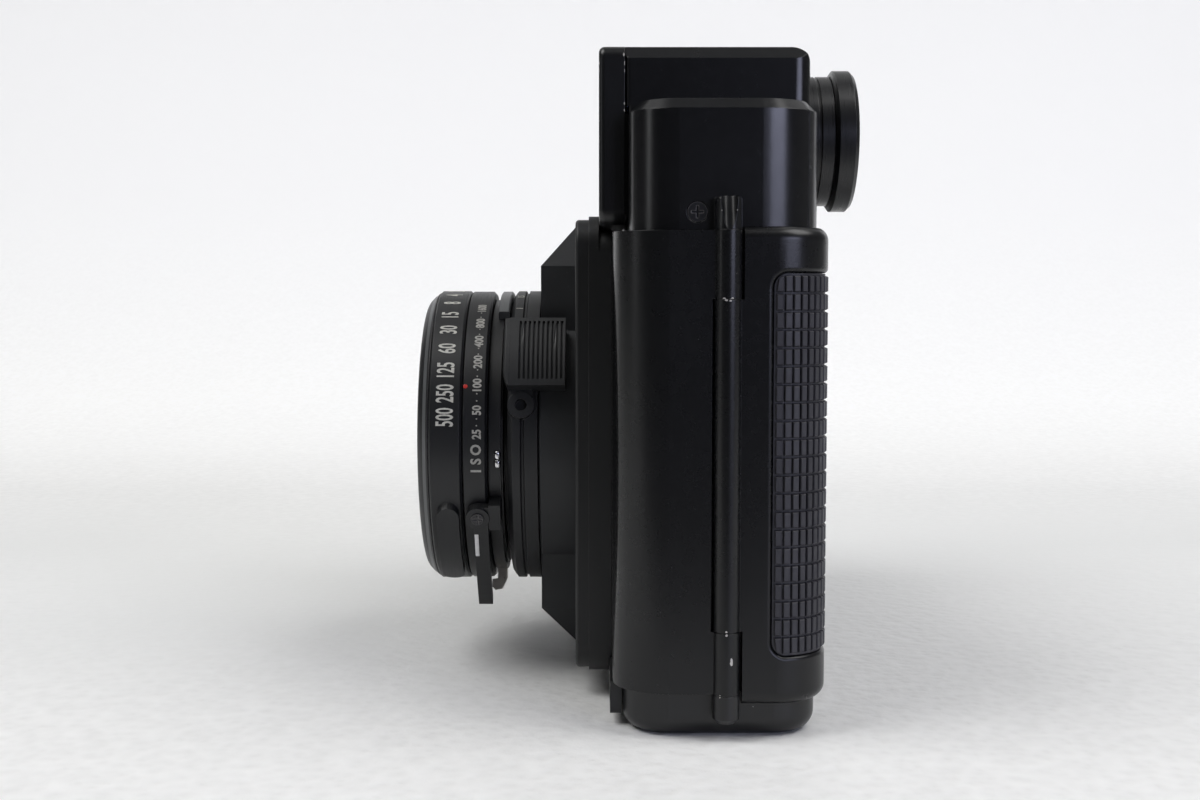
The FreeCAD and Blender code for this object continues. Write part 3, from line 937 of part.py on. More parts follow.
# --------------------------------------------------------------------- write
def main():
    chassis()
    front_cover()
    bottom_cover()
    top_cover()
    screws()
    lugs()
    finder()
    shoe()
    lens_front()
    setting_rings()
    sync_socket()
    transport()
    controls()
    door()
    os.makedirs("parts", exist_ok=True)
    for old in os.listdir("parts"):
        if old.endswith(".step") and old[:-5] not in OUT:
            os.remove(os.path.join("parts", old))
    for name, shape in OUT.items():
        solids = shape.Solids
        ok = shape.isValid() and len(solids) > 0
        print(
            "%-22s solids %2d  vol %9.1f  valid %s  z %.1f..%.1f" %
            (name, len(solids), sum(s.Volume for s in solids), ok, shape.BoundBox.ZMin, shape.BoundBox.ZMax)
        )
        if len(solids) == 1:
            shape = solids[0]
        else:
            shape = Part.makeCompound(solids)
        shape.exportStep("parts/%s.step" % name)
    print("nodes", len(OUT))


main()
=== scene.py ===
import math

import bmesh
import bpy
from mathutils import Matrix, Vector


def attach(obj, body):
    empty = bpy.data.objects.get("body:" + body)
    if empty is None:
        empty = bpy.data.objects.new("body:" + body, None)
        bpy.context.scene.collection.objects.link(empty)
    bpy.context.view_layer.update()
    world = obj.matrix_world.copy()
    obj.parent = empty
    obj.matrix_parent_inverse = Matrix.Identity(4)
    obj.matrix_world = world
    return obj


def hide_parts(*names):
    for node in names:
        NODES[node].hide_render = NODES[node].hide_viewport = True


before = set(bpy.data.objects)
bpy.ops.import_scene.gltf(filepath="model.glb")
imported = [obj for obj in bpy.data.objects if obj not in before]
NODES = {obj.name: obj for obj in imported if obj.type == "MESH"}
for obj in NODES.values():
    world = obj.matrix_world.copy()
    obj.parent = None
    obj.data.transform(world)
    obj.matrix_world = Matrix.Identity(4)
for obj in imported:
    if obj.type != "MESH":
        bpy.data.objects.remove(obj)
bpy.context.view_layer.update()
MM = 0.001

# ------------------------------------------------------------ shared numbers (mm)
AXIS_Z = 44.6
BODY_X0, BODY_X1, BODY_Y1, CORNER_R = -82.0, 64.0, 17.15, 9.0
PAD_Z0, PAD_Z1, PAD_Y0, PAD_X0, PAD_D, PAD_R = 14.1, 76.3, 7.4, -73.9, 0.95, 2.3

# ------------------------------------------------------------------- light levels
ROOM_BACK, ROOM_SIDE, ROOM_FRONT, ROOM_TOP = 0.80, 0.13, 0.045, 0.18
ROOF_W, HIGH_W, LEFT_W, RIGHT_W, WALL_GLOW = 1.0, 8.8, 0.42, 4.3, 0.16


# ---------------------------------------------------------------- camera, stage
def make_camera():
    data = bpy.data.cameras.new("camera")
    data.lens = 45.0
    data.sensor_width = 36.0
    data.clip_start = 0.01
    data.clip_end = 20.0
    cam = bpy.data.objects.new("camera", data)
    bpy.context.scene.collection.objects.link(cam)
    cam.location = (0.3048, -0.0206, 0.0728)
    direction = Vector((-math.cos(math.radians(4.0)), 0.0, -math.sin(math.radians(4.0))))
    cam.rotation_euler = direction.to_track_quat("-Z", "Y").to_euler()
    bpy.context.scene.camera = cam


def area(name, loc, aim, sx, sy, power, colour, spread=180.0):
    data = bpy.data.lights.new(name, "AREA")
    data.shape = "RECTANGLE"
    data.size, data.size_y = sx, sy
    data.energy = power
    data.color = colour
    data.spread = math.radians(spread)
    ob = bpy.data.objects.new(name, data)
    bpy.context.scene.collection.objects.link(ob)
    ob.location = loc
    ob.rotation_euler = (Vector(aim) - Vector(loc)).to_track_quat("-Z", "Y").to_euler()
    return ob


# -------------------------------------------------------------- material maker
class Mat:
    """Small helper that lays out one node material."""

    def __init__(self, name):
        self.m = bpy.data.materials.new(name)
        self.m.use_nodes = True
        self.t = self.m.node_tree
        self.t.nodes.clear()
        self.out = self.new("ShaderNodeOutputMaterial")
        self.b = self.new("ShaderNodeBsdfPrincipled")
        self.t.links.new(self.b.outputs[0], self.out.inputs["Surface"])
        self.co = self.new("ShaderNodeTexCoord").outputs["Object"]

    def new(self, kind, **props):
        n = self.t.nodes.new(kind)
        for k, v in props.items():
            setattr(n, k, v)
        return n

    def put(self, socket, value):
        if isinstance(value, bpy.types.NodeSocket):
            self.t.links.new(value, socket)
        elif value is not None:
            if hasattr(socket.default_value, "__len__") and not hasattr(value, "__len__"):
                value = [value] * len(socket.default_value)
            if hasattr(value, "__len__") and len(value) == 3 and len(socket.default_value) == 4:
                value = list(value) + [1.0]
            socket.default_value = value

    def noise(self, scale, detail=2.0, rough=0.5, vec=None, distortion=0.0):
        n = self.new("ShaderNodeTexNoise")
        self.put(n.inputs["Vector"], self.co if vec is None else vec)
        self.put(n.inputs["Scale"], scale)
        self.put(n.inputs["Detail"], detail)
        self.put(n.inputs["Roughness"], rough)
        self.put(n.inputs["Distortion"], distortion)
        return n.outputs[0]

    def voronoi(self, scale, feature="F1", out=0, vec=None, rnd=1.0):
        n = self.new("ShaderNodeTexVoronoi", feature=feature)
        self.put(n.inputs["Vector"], self.co if vec is None else vec)
        self.put(n.inputs["Scale"], scale)
        self.put(n.inputs["Randomness"], rnd)
        return n.outputs[out]

    def math(self, op, a, b=None, c=None, clamp=False):
        n = self.new("ShaderNodeMath", operation=op, use_clamp=clamp)
        self.put(n.inputs[0], a)
        if b is not None:
            self.put(n.inputs[1], b)
        if c is not None:
            self.put(n.inputs[2], c)
        return n.outputs[0]

    def span(self, v, a0, a1, b0=0.0, b1=1.0):
        n = self.new("ShaderNodeMapRange")
        n.clamp = True
        for i, x in enumerate((v, a0, a1, b0, b1)):
            self.put(n.inputs[i], x)
        return n.outputs[0]

    def vec(self, op, a, b=None, out=0):
        n = self.new("ShaderNodeVectorMath", operation=op)
        self.put(n.inputs[0], a)
        if b is not None:
            self.put(n.inputs[1], b)
        return n.outputs[out]

    def xyz(self, v=None):
        n = self.new("ShaderNodeSeparateXYZ")
        self.put(n.inputs[0], self.co if v is None else v)
        return n.outputs

    def join(self, x, y, z):
        n = self.new("ShaderNodeCombineXYZ")
        for i, v in enumerate((x, y, z)):
            self.put(n.inputs[i], v)
        return n.outputs[0]

    def mix(self, fac, a, b):
        n = self.new("ShaderNodeMix", data_type="RGBA")
        self.put(n.inputs[0], fac)
        self.put(n.inputs[6], a)
        self.put(n.inputs[7], b)
        return n.outputs[2]

    def bevel(self, radius, samples=4):
        n = self.new("ShaderNodeBevel")
        n.samples = samples
        n.inputs["Radius"].default_value = radius
        return n.outputs[0]

    def bump(self, height, distance, strength=1.0, normal=None):
        n = self.new("ShaderNodeBump")
        self.put(n.inputs["Height"], height)
        n.inputs["Distance"].default_value = distance
        n.inputs["Strength"].default_value = strength
        if normal is not None:
            self.put(n.inputs["Normal"], normal)
        return n.outputs[0]

    def edges(self, radius, lo=0.985, hi=0.9):
        """1 on sharp edges, 0 on flats."""
        geo = self.new("ShaderNodeNewGeometry").outputs["Normal"]
        d = self.vec("DOT_PRODUCT", self.bevel(radius, 6), geo, out=1)
        return self.span(d, lo, hi)

    def near(self, point, radius, tall=1.0):
        """1 at a point (mm), 0 beyond the radius (mm); tall stretches it along Z."""
        v = self.vec("SUBTRACT", self.co, [c * MM for c in point])
        d = self.vec("LENGTH", self.vec("MULTIPLY", v, (1.0, 1.0, 1.0 / tall)), out=1)
        ragged = self.math("MULTIPLY_ADD", self.noise(2400.0, 3.0, 0.65), radius * MM * 0.9, radius * MM * 0.3)
        return self.math("GREATER_THAN", ragged, d)

    def set(self, **k):
        names = {
            "color": "Base Color", "rough": "Roughness", "metal": "Metallic", "normal": "Normal", "coat": "Coat Weight",
            "coat_rough": "Coat Roughness", "ior": "IOR", "trans": "Transmission Weight", "spec": "Specular IOR Level",
            "sheen": "Sheen Weight", "aniso": "Anisotropic", "coat_tint": "Coat Tint", "alpha": "Alpha", "coat_ior": "Coat IOR",
            "emit": "Emission Color", "emit_k": "Emission Strength", "tint": "Specular Tint", "sss": "Subsurface Weight",
            "coat_normal": "Coat Normal", "sheen_rough": "Sheen Roughness",
        }
        for key, v in k.items():
            self.put(self.b.inputs[names[key]], v)
        return self.m


CHIP_AND_GLINT = (0.50, 0.48, 0.45)


def paint(name, base, rough, grain=2600.0, grain_h=9e-6, chips_and_glints=(), wear=0.5, soft=0.00018, spec=0.5, dust=0.35, bare=0.0):
    """Sprayed black paint on metal: orange peel, faint handling marks, specks, worn edges and given pale spots, which
    are chipped paint on most parts and painted highlights on the hinge cap.
    """
    k = Mat(name)
    big = k.noise(38.0, 3.0, 0.6)
    mid = k.noise(420.0, 3.0, 0.6)
    col = k.mix(k.span(big, 0.3, 0.7), [c * 0.82 for c in base], [c * 1.25 for c in base])
    # fine grey specks of dust
    d = k.voronoi(900.0)
    pick = k.span(k.noise(130.0, 1.0), 0.63, 0.66)
    speck = k.math("MULTIPLY", k.span(d, 0.04, 0.09, 1.0, 0.0), pick)
    col = k.mix(k.math("MULTIPLY", speck, dust), col, (0.12, 0.12, 0.125))
    # paint rubbed thin along the edges; with high wear, as on the screws, this lightening also serves as painted
    # highlight on rims and cross
    e = k.edges(0.00018)
    worn = k.math("MULTIPLY", e, k.span(k.noise(900.0, 4.0, 0.7), 0.58 - bare, 0.68 - bare))
    worn = k.math("MULTIPLY", worn, k.span(k.noise(45.0, 2.0), 0.54 - bare, 0.66 - bare))
    worn = k.math("MULTIPLY", worn, wear)
    col = k.mix(worn, col, (0.20, 0.19, 0.185))
    # pale spots: chipped paint, and on some parts painted highlights
    for p, r, tall in chips_and_glints:
        col = k.mix(k.near(p, r, tall), col, CHIP_AND_GLINT)
    r = k.span(mid, 0.3, 0.7, rough - 0.012, rough + 0.018)
    # faint wipe marks
    r = k.math("ADD", r, k.math("MULTIPLY", k.span(k.noise(28.0, 2.0, 0.5), 0.45, 0.75), 0.035))
    fine = k.noise(grain, 2.0, 0.5)
    n = k.bump(fine, grain_h, 0.6, k.bevel(soft))
    return k.set(color=col, rough=r, normal=n, spec=spec)


def rubber(name, base=(0.027, 0.0265, 0.033)):
    k = Mat(name)
    big = k.noise(90.0, 3.0, 0.6)
    col = k.mix(k.span(big, 0.3, 0.7), [c * 0.85 for c in base], [c * 1.2 for c in base])
    dust = k.span(k.noise(1400.0, 4.0, 0.7), 0.62, 0.78, 0.0, 0.35)
    col = k.mix(dust, col, (0.075, 0.073, 0.078))
    rub = k.math("MULTIPLY", k.edges(0.00012), k.span(k.noise(300.0, 3.0), 0.4, 0.7, 0.0, 0.5))
    col = k.mix(rub, col, [c * 2.2 for c in base])
    r = k.span(k.noise(500.0, 3.0), 0.3, 0.7, 0.44, 0.58)
    n = k.bump(k.noise(5200.0, 3.0, 0.6), 1.6e-5, 0.7)
    return k.set(color=col, rough=r, normal=n, spec=0.5)


def turned_black(name, base=(0.0085, 0.0088, 0.0095), rough=0.4, lines=5200.0, height=4e-6, soft=0.00012, wear=0.25, along="y", chips_and_glints=()):
    """Black anodised part from the lathe: fine lines round the lens axis, slightly rubbed edges."""
    k = Mat(name)
    x, y, z = k.xyz()
    if along == "y":
        v = k.join(k.math("MULTIPLY", x, 0.04), y, k.math("MULTIPLY", z, 0.04))
    else:
        v = k.join(k.math("MULTIPLY", x, 0.04), k.math("MULTIPLY", y, 0.04), z)
    line = k.noise(lines, 2.0, 0.5, v)
    big = k.noise(55.0, 3.0, 0.6)
    col = k.mix(k.span(big, 0.3, 0.7), [c * 0.85 for c in base], [c * 1.2 for c in base])
    e = k.math("MULTIPLY", k.edges(0.0002), k.span(k.noise(520.0, 3.0, 0.7), 0.52, 0.68))
    col = k.mix(k.math("MULTIPLY", e, wear), col, (0.3, 0.3, 0.31))
    # pale spots, on the lens a painted glint
    for p, r0, tall in chips_and_glints:
        col = k.mix(k.near(p, r0, tall), col, CHIP_AND_GLINT)
    r = k.span(line, 0.3, 0.7, rough - 0.04, rough + 0.05)
    h = k.math("ADD", line, k.math("MULTIPLY", k.noise(4200.0, 1.0), 0.5))
    n = k.bump(h, height, 0.6, k.bevel(soft))
    return k.set(color=col, rough=r, normal=n, spec=0.5)


def metal(name, base, rough=0.25, stretch=(1, 1, 1), scale=1800.0, height=2e-6, tarnish=(0.35, 0.33, 0.3), amount=0.25, soft=0.0001):
    k = Mat(name)
    x, y, z = k.xyz()
    v = k.join(k.math("MULTIPLY", x, stretch[0]), k.math("MULTIPLY", y, stretch[1]), k.math("MULTIPLY", z, stretch[2]))
    fine = k.noise(scale, 3.0, 0.6, v)
    spot = k.span(k.noise(220.0, 4.0, 0.65), 0.5, 0.72, 0.0, amount)
    col = k.mix(spot, base, [a * b for a, b in zip(base, tarnish)])
    r = k.span(fine, 0.3, 0.7, rough - 0.07, rough + 0.1)
    n = k.bump(fine, height, 0.5, k.bevel(soft))
    return k.set(color=col, rough=r, normal=n, metal=1.0)


def cast(name, base=(0.012, 0.012, 0.013)):
    k = Mat(name)
    col = k.mix(k.span(k.noise(60.0, 4.0), 0.3, 0.7), [c * 0.8 for c in base], [c * 1.4 for c in base])
    e = k.math("MULTIPLY", k.edges(0.0003), k.span(k.noise(240.0, 3.0), 0.52, 0.66, 0.0, 0.5))
    col = k.mix(e, col, (0.2, 0.2, 0.2))
    n = k.bump(k.noise(1700.0, 4.0, 0.6), 3.5e-5, 0.6, k.bevel(0.0002))
    return k.set(color=col, rough=k.span(k.noise(300.0, 3.0), 0.3, 0.7, 0.5, 0.66), normal=n)


def flock(name, base=(0.006, 0.006, 0.0065), scale=3800.0, height=6e-5, rough=0.86):
    k = Mat(name)
    col = k.mix(k.span(k.noise(160.0, 4.0), 0.3, 0.7), [c * 0.7 for c in base], [c * 1.6 for c in base])
    n = k.bump(k.noise(scale, 4.0, 0.7), height, 0.8)
    return k.set(color=col, rough=k.span(k.noise(900.0, 2.0), 0.3, 0.7, rough - 0.06, rough + 0.06), normal=n, spec=0.2)


def foam(name):
    k = Mat(name)
    cells = k.voronoi(2600.0)
    col = k.mix(k.span(cells, 0.1, 0.6), (0.006, 0.006, 0.006), (0.024, 0.024, 0.025))
    return k.set(color=col, rough=k.span(k.noise(800.0), 0.3, 0.7, 0.88, 0.98), normal=k.bump(cells, 1.2e-4, 0.8), spec=0.15)


def glass(name, tint, coat, rough=0.02, dust=0.05):
    """Coated optical glass with a little dust and a faint wipe mark."""
    k = Mat(name)
    wipe = k.span(k.noise(120.0, 4.0, 0.7, distortion=2.0), 0.5, 0.75, 0.0, 0.05)
    speck = k.span(k.voronoi(1400.0), 0.06, 0.1, dust, 0.0)
    r = k.math("ADD", k.math("ADD", wipe, speck), rough)
    col = k.mix(k.span(k.noise(30.0), 0.3, 0.7), tint, [c * 0.97 for c in tint])
    n = k.bump(k.noise(80.0, 1.0), 1e-6, 0.3)
    return k.set(color=col, rough=r, normal=n, trans=1.0, ior=1.52, coat=1.0, coat_tint=coat, coat_rough=0.02, coat_ior=1.9)


def frosted(name):
    k = Mat(name)
    ribs = k.math("PINGPONG", k.math("MULTIPLY", k.xyz()[0], 2400.0), 1.0)
    col = k.mix(ribs, (0.55, 0.58, 0.57), (0.74, 0.77, 0.75))
    n = k.bump(ribs, 6e-5, 0.8)
    return k.set(color=col, rough=k.span(k.noise(700.0), 0.3, 0.7, 0.3, 0.42), normal=n, trans=0.35, ior=1.49)


def ink(name, base, rough=0.5):
    """Filled engraved paint: slightly uneven and dusty."""
    k = Mat(name)
    col = k.mix(k.span(k.noise(1800.0, 4.0, 0.7), 0.35, 0.65), [c * 0.72 for c in base], base)
    n = k.bump(k.noise(4000.0, 2.0), 8e-6, 0.5)
    return k.set(color=col, rough=k.span(k.noise(900.0), 0.3, 0.7, rough - 0.08, rough + 0.1), normal=n)


def blade(name):
    k = Mat(name)
    x, y, z = k.xyz()
    v = k.join(k.math("MULTIPLY", x, 0.15), y, z)
    fine = k.noise(2600.0, 3.0, 0.6, v)
    col = k.mix(fine, (0.02, 0.02, 0.022), (0.05, 0.05, 0.055))
    return k.set(color=col, rough=k.span(fine, 0.3, 0.7, 0.32, 0.5), normal=k.bump(fine, 3e-6, 0.5, k.bevel(0.00005)), metal=0.85)


# -------------------------------------------------------------------- geometry
def mesh_object(name, verts, faces, material, body, smooth=None, replaces=(), materials=None, index=None):
    me = bpy.data.meshes.new(name)
    me.from_pydata([[c * MM for c in v] for v in verts], [], faces)
    me.validate()
    bm = bmesh.new()
    bm.from_mesh(me)
    bmesh.ops.remove_doubles(bm, verts=bm.verts, dist=1e-7)
    bmesh.ops.recalc_face_normals(bm, faces=bm.faces)
    bm.to_mesh(me)
    bm.free()
    if smooth is not None:
        for p in me.polygons:
            p.use_smooth = True
        me.set_sharp_from_angle(angle=math.radians(smooth))
    ob = bpy.data.objects.new(name, me)
    bpy.context.scene.collection.objects.link(ob)
    for m in materials or [material]:
        me.materials.append(m)
    if index is not None:
        for p, i in zip(me.polygons, index):
            p.material_index = i
    if replaces:
        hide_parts(*replaces)
    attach(ob, body)
    return ob


def revolve(profile, segs, cx=0.0, cz=AXIS_Z, a0=0.0, a1=360.0):
    """Closed profile of (y, r) about the line along Y through (cx, cz)."""
    n = len(profile)
    full = abs(a1 - a0 - 360.0) < 1e-6
    count = segs if full else segs + 1
    verts, faces = [], []
    for i in range(count):
        a = math.radians(a0 + (a1 - a0) * i / segs)
        for y, r in profile:
            verts.append((cx + r * math.cos(a), y, cz + r * math.sin(a)))
    for i in range(segs):
        j = (i + 1) % count
        for k in range(n):
            m = (k + 1) % n
            faces.append((i * n + k, i * n + m, j * n + m, j * n + k))
    if not full:
        faces.append(tuple(range(n)))
        faces.append(tuple((count - 1) * n + k for k in reversed(range(n))))
    return verts, faces


class Path:
    """Skin of the door in plan: from the hinge side round the rear corner and along the back."""

    def __init__(self):
        self.flat = BODY_Y1 - CORNER_R - PAD_Y0
        self.arc = CORNER_R * math.pi / 2
        self.length = self.flat + self.arc + (BODY_X1 - CORNER_R - PAD_X0)

    def at(self, u, h):
        """Plan point and height h outside the skin."""
        if u < self.flat:
            return BODY_X1 + h, PAD_Y0 + u
        u -= self.flat
        if u < self.arc:
            a = u / CORNER_R
            return BODY_X1 - CORNER_R + (CORNER_R + h) * math.cos(a), BODY_Y1 - CORNER_R + (CORNER_R + h) * math.sin(a)
        return BODY_X1 - CORNER_R - (u - self.arc), BODY_Y1 + h


def clip_round(u, z, length, z0, z1, r, inset):
    """Moves a point that is outside a rounded rectangle onto its edge."""
    lo_u, hi_u, lo_z, hi_z = inset, length - inset, z0 + inset, z1 - inset
    u, z = min(max(u, lo_u), hi_u), min(max(z, lo_z), hi_z)
    rr = max(r - inset, 0.05)
    cu = lo_u + rr if u < lo_u + rr else hi_u - rr if u > hi_u - rr else None
    cz = lo_z + rr if z < lo_z + rr else hi_z - rr if z > hi_z - rr else None
    if cu is not None and cz is not None:
        d = math.hypot(u - cu, z - cz)
        if d > rr:
            u, z = cu + (u - cu) * rr / d, cz + (z - cz) * rr / d
    return u, z


def cell_pad(name, at, length, z0, z1, r, cols, rows, base_h, top_h, floor_h, body, material, replaces, breaks, tilt=0.0):
    """Moulded rubber sheet with rows of raised cells. at(u, z, h) gives a point in mm."""
    verts, faces = [], []
    # sheet: two skins joined at the rim
    us = sorted(set([round(x, 4) for x in breaks] + [0.0, length]))
    zs = []
    for k in range(7):
        a = math.pi / 2 * k / 6
        zs.append(z0 + r * (1 - math.cos(a)))
    top = [z0 + z1 - z for z in zs]
    zs = sorted(set([round(z, 4) for z in zs + top] + [round(z0 + (z1 - z0) * k / 12, 4) for k in range(1, 12)]))
    nu, nz = len(us), len(zs)
    for h in (base_h, floor_h):
        for z in zs:
            for u in us:
                left = 0.0
                if z < z0 + r or z > z1 - r:
                    dz = (z0 + r - z) if z < z0 + r else (z - (z1 - r))
                    left = r - math.sqrt(max(r * r - dz * dz, 0.0))
                uu = left + (length - 2 * left) * u / length if u < 4 or u > length - 4 else u
                uu = min(max(uu, left), length - left)
                verts.append(at(uu, z, h))
    grid = nu * nz
    for j in range(nz - 1):
        for i in range(nu - 1):
            a, b, c, d = j * nu + i, j * nu + i + 1, (j + 1) * nu + i + 1, (j + 1) * nu + i
            faces.append((a, b, c, d))
            faces.append((grid + d, grid + c, grid + b, grid + a))
    rim = [i for i in range(nu)] + [j * nu + nu - 1 for j in range(1, nz)] + [(nz - 1) * nu + i for i in range(nu - 2, -1, -1)] + [j * nu for j in range(nz - 2, 0, -1)]
    for k in range(len(rim)):
        a, b = rim[k], rim[(k + 1) % len(rim)]
        faces.append((a, grid + a, grid + b, b))
    # cells
    gu, gz = 0.17, 0.2
    m = 0.22
    pu, pz = (length - 2 * m) / cols, (z1 - z0 - 2 * m) / rows
    for j in range(rows):
        for i in range(cols):
            u0, u1 = m + i * pu + gu, m + (i + 1) * pu - gu
            w0, w1 = z0 + m + j * pz + gz, z0 + m + (j + 1) * pz - gz
            start = len(verts)
            rings = ((-0.08, -0.1, base_h - 0.03, 0.0), (0.02, 0.05, top_h - 0.12, 0.0), (0.12, 0.16, top_h, 0.0))
            for iu, iz, h, _ in rings:
                for cu, cz, th in ((u0 + iu, w0 + iz, -tilt), (u1 - iu, w0 + iz, tilt), (u1 - iu, w1 - iz, tilt), (u0 + iu, w1 - iz, -tilt)):
                    pu_, pz_ = clip_round(cu, cz, length, z0, z1, r, 0.16)
                    verts.append(at(pu_, pz_, h + (th if h > base_h else 0.0)))
            for q in range(2):
                for c in range(4):
                    d = (c + 1) % 4
                    faces.append((start + q * 4 + c, start + q * 4 + d, start + q * 4 + 4 + d, start + q * 4 + 4 + c))
            faces.append((start + 8, start + 9, start + 10, start + 11))
    return mesh_object(name, verts, faces, material, body, replaces=replaces)


def text_on_ring(name, items, body, material, radius, thick=0.045, sink=0.03, squeeze=0.6, bold=0.016):
    """items: (text, angle up from +X in degrees, Y of the middle, glyph height mm, squeeze or None). Read along the ring, tops to the front."""
    verts, faces = [], []
    for text, angle, yc, height, sq in items:
        curve = bpy.data.curves.new("t", "FONT")
        curve.body = text
        curve.size = 1.0
        curve.align_x = "CENTER"
        curve.resolution_u = 3
        curve.offset = bold
        ob = bpy.data.objects.new("t", curve)
        bpy.context.scene.collection.objects.link(ob)
        bpy.context.view_layer.update()
        me = bpy.data.meshes.new_from_object(ob.evaluated_get(bpy.context.evaluated_depsgraph_get()))
        bpy.data.objects.remove(ob)
        xs = [v.co.x for v in me.vertices]
        ys = [v.co.y for v in me.vertices]
        cap = 0.72
        k = height / cap
        s = (sq if sq is not None else squeeze) * k
        xm = (max(xs) + min(xs)) / 2
        ym = (max(ys) + min(ys)) / 2
        start, n = len(verts), len(me.vertices)
        for h in (radius + thick, radius - sink):
            for v in me.vertices:
                a = math.radians(angle) + (v.co.x - xm) * s / radius
                verts.append((h * math.cos(a), yc - (v.co.y - ym) * k, AXIS_Z + h * math.sin(a)))
        edges = {}
        for p in me.polygons:
            vs = list(p.vertices)
            faces.append(tuple(start + v for v in vs))
            for a, b in zip(vs, vs[1:] + vs[:1]):
                key = (min(a, b), max(a, b))
                edges[key] = None if key in edges else (a, b)
        for e in edges.values():
            if e:
                a, b = e
                faces.append((start + b, start + a, start + n + a, start + n + b))
        bpy.data.meshes.remove(me)
        bpy.data.curves.remove(curve)
    return mesh_object(name, verts, faces, material, body)


def text_flat(name, items, body, material, z, thick=0.05, squeeze=0.8):
    """items: (text, x, y, height mm, turn in degrees) on a level face at z."""
    verts, faces = [], []
    for text, cx, cy, height, turn in items:
        curve = bpy.data.curves.new("t", "FONT")
        curve.body = text
        curve.align_x = "CENTER"
        curve.resolution_u = 3
        ob = bpy.data.objects.new("t", curve)
        bpy.context.scene.collection.objects.link(ob)
        bpy.context.view_layer.update()
        me = bpy.data.meshes.new_from_object(ob.evaluated_get(bpy.context.evaluated_depsgraph_get()))
        bpy.data.objects.remove(ob)
        xs = [v.co.x for v in me.vertices]
        ys = [v.co.y for v in me.vertices]
        k = height / 0.72
        xm, ym = (max(xs) + min(xs)) / 2, (max(ys) + min(ys)) / 2
        t = math.radians(turn)
        start, n = len(verts), len(me.vertices)
        for h in (z + thick, z - 0.04):
            for v in me.vertices:
                a, b = (v.co.x - xm) * k * squeeze, (v.co.y - ym) * k
                verts.append((cx + a * math.cos(t) - b * math.sin(t), cy + a * math.sin(t) + b * math.cos(t), h))
        edges = {}
        for p in me.polygons:
            vs = list(p.vertices)
            faces.append(tuple(start + v for v in vs))
            for a, b in zip(vs, vs[1:] + vs[:1]):
                key = (min(a, b), max(a, b))
                edges[key] = None if key in edges else (a, b)
        for e in edges.values():
            if e:
                a, b = e
                faces.append((start + b, start + a, start + n + a, start + n + b))
        bpy.data.meshes.remove(me)
        bpy.data.curves.remove(curve)
    return mesh_object(name, verts, faces, material, body)


def ring_dots(name, items, body, material, radius):
    """items: (angle, y, r) small raised dots on a ring."""
    verts, faces = [], []
    for angle, yc, r in items:
        start = len(verts)
        n = 14
        for h, k in ((-0.03, 1.0), (0.03, 1.0), (0.06, 0.7)):
            for i in range(n):
                t = 2 * math.pi * i / n
                a = math.radians(angle) + math.cos(t) * r * k / radius
                verts.append(((radius + h) * math.cos(a), yc + math.sin(t) * r * k, AXIS_Z + (radius + h) * math.sin(a)))
        for q in range(2):
            for i in range(n):
                j = (i + 1) % n
                faces.append((start + q * n + i, start + q * n + j, start + (q + 1) * n + j, start + (q + 1) * n + i))
        faces.append(tuple(start + 2 * n + i for i in range(n)))
        faces.append(tuple(start + i for i in reversed(range(n))))
    return mesh_object(name, verts, faces, material, body)


def screw_head(name, angle, radius, yc, r, high, body, material):
    """Small cross head screw standing out from the lens barrel."""
    segs = 48
    rings = [(1.0, -0.25), (1.0, 0.0), (0.97, high - 0.06), (0.9, high)] + [(q / 20.0, high) for q in range(17, 0, -1)]
    ca, sa = math.cos(math.radians(angle)), math.sin(math.radians(angle))
    verts, faces = [], []
    for q, h in rings:
        for i in range(segs):
            t = 2 * math.pi * i / segs
            u, w = q * r * math.cos(t), q * r * math.sin(t)
            arm = min(abs(u), abs(w))
            depth = 0.2 if q < 0.72 and h == high and arm < 0.14 * r else 0.0
            d = radius + h - depth
            verts.append((d * ca - w * sa, yc + u, AXIS_Z + d * sa + w * ca))
    for k in range(len(rings) - 1):
        for i in range(segs):
            j = (i + 1) % segs
            faces.append((k * segs + i, k * segs + j, (k + 1) * segs + j, (k + 1) * segs + i))
    faces.append(tuple((len(rings) - 1) * segs + i for i in range(segs)))
    faces.append(tuple(reversed(range(segs))))
    return mesh_object(name, verts, faces, material, body, smooth=30)


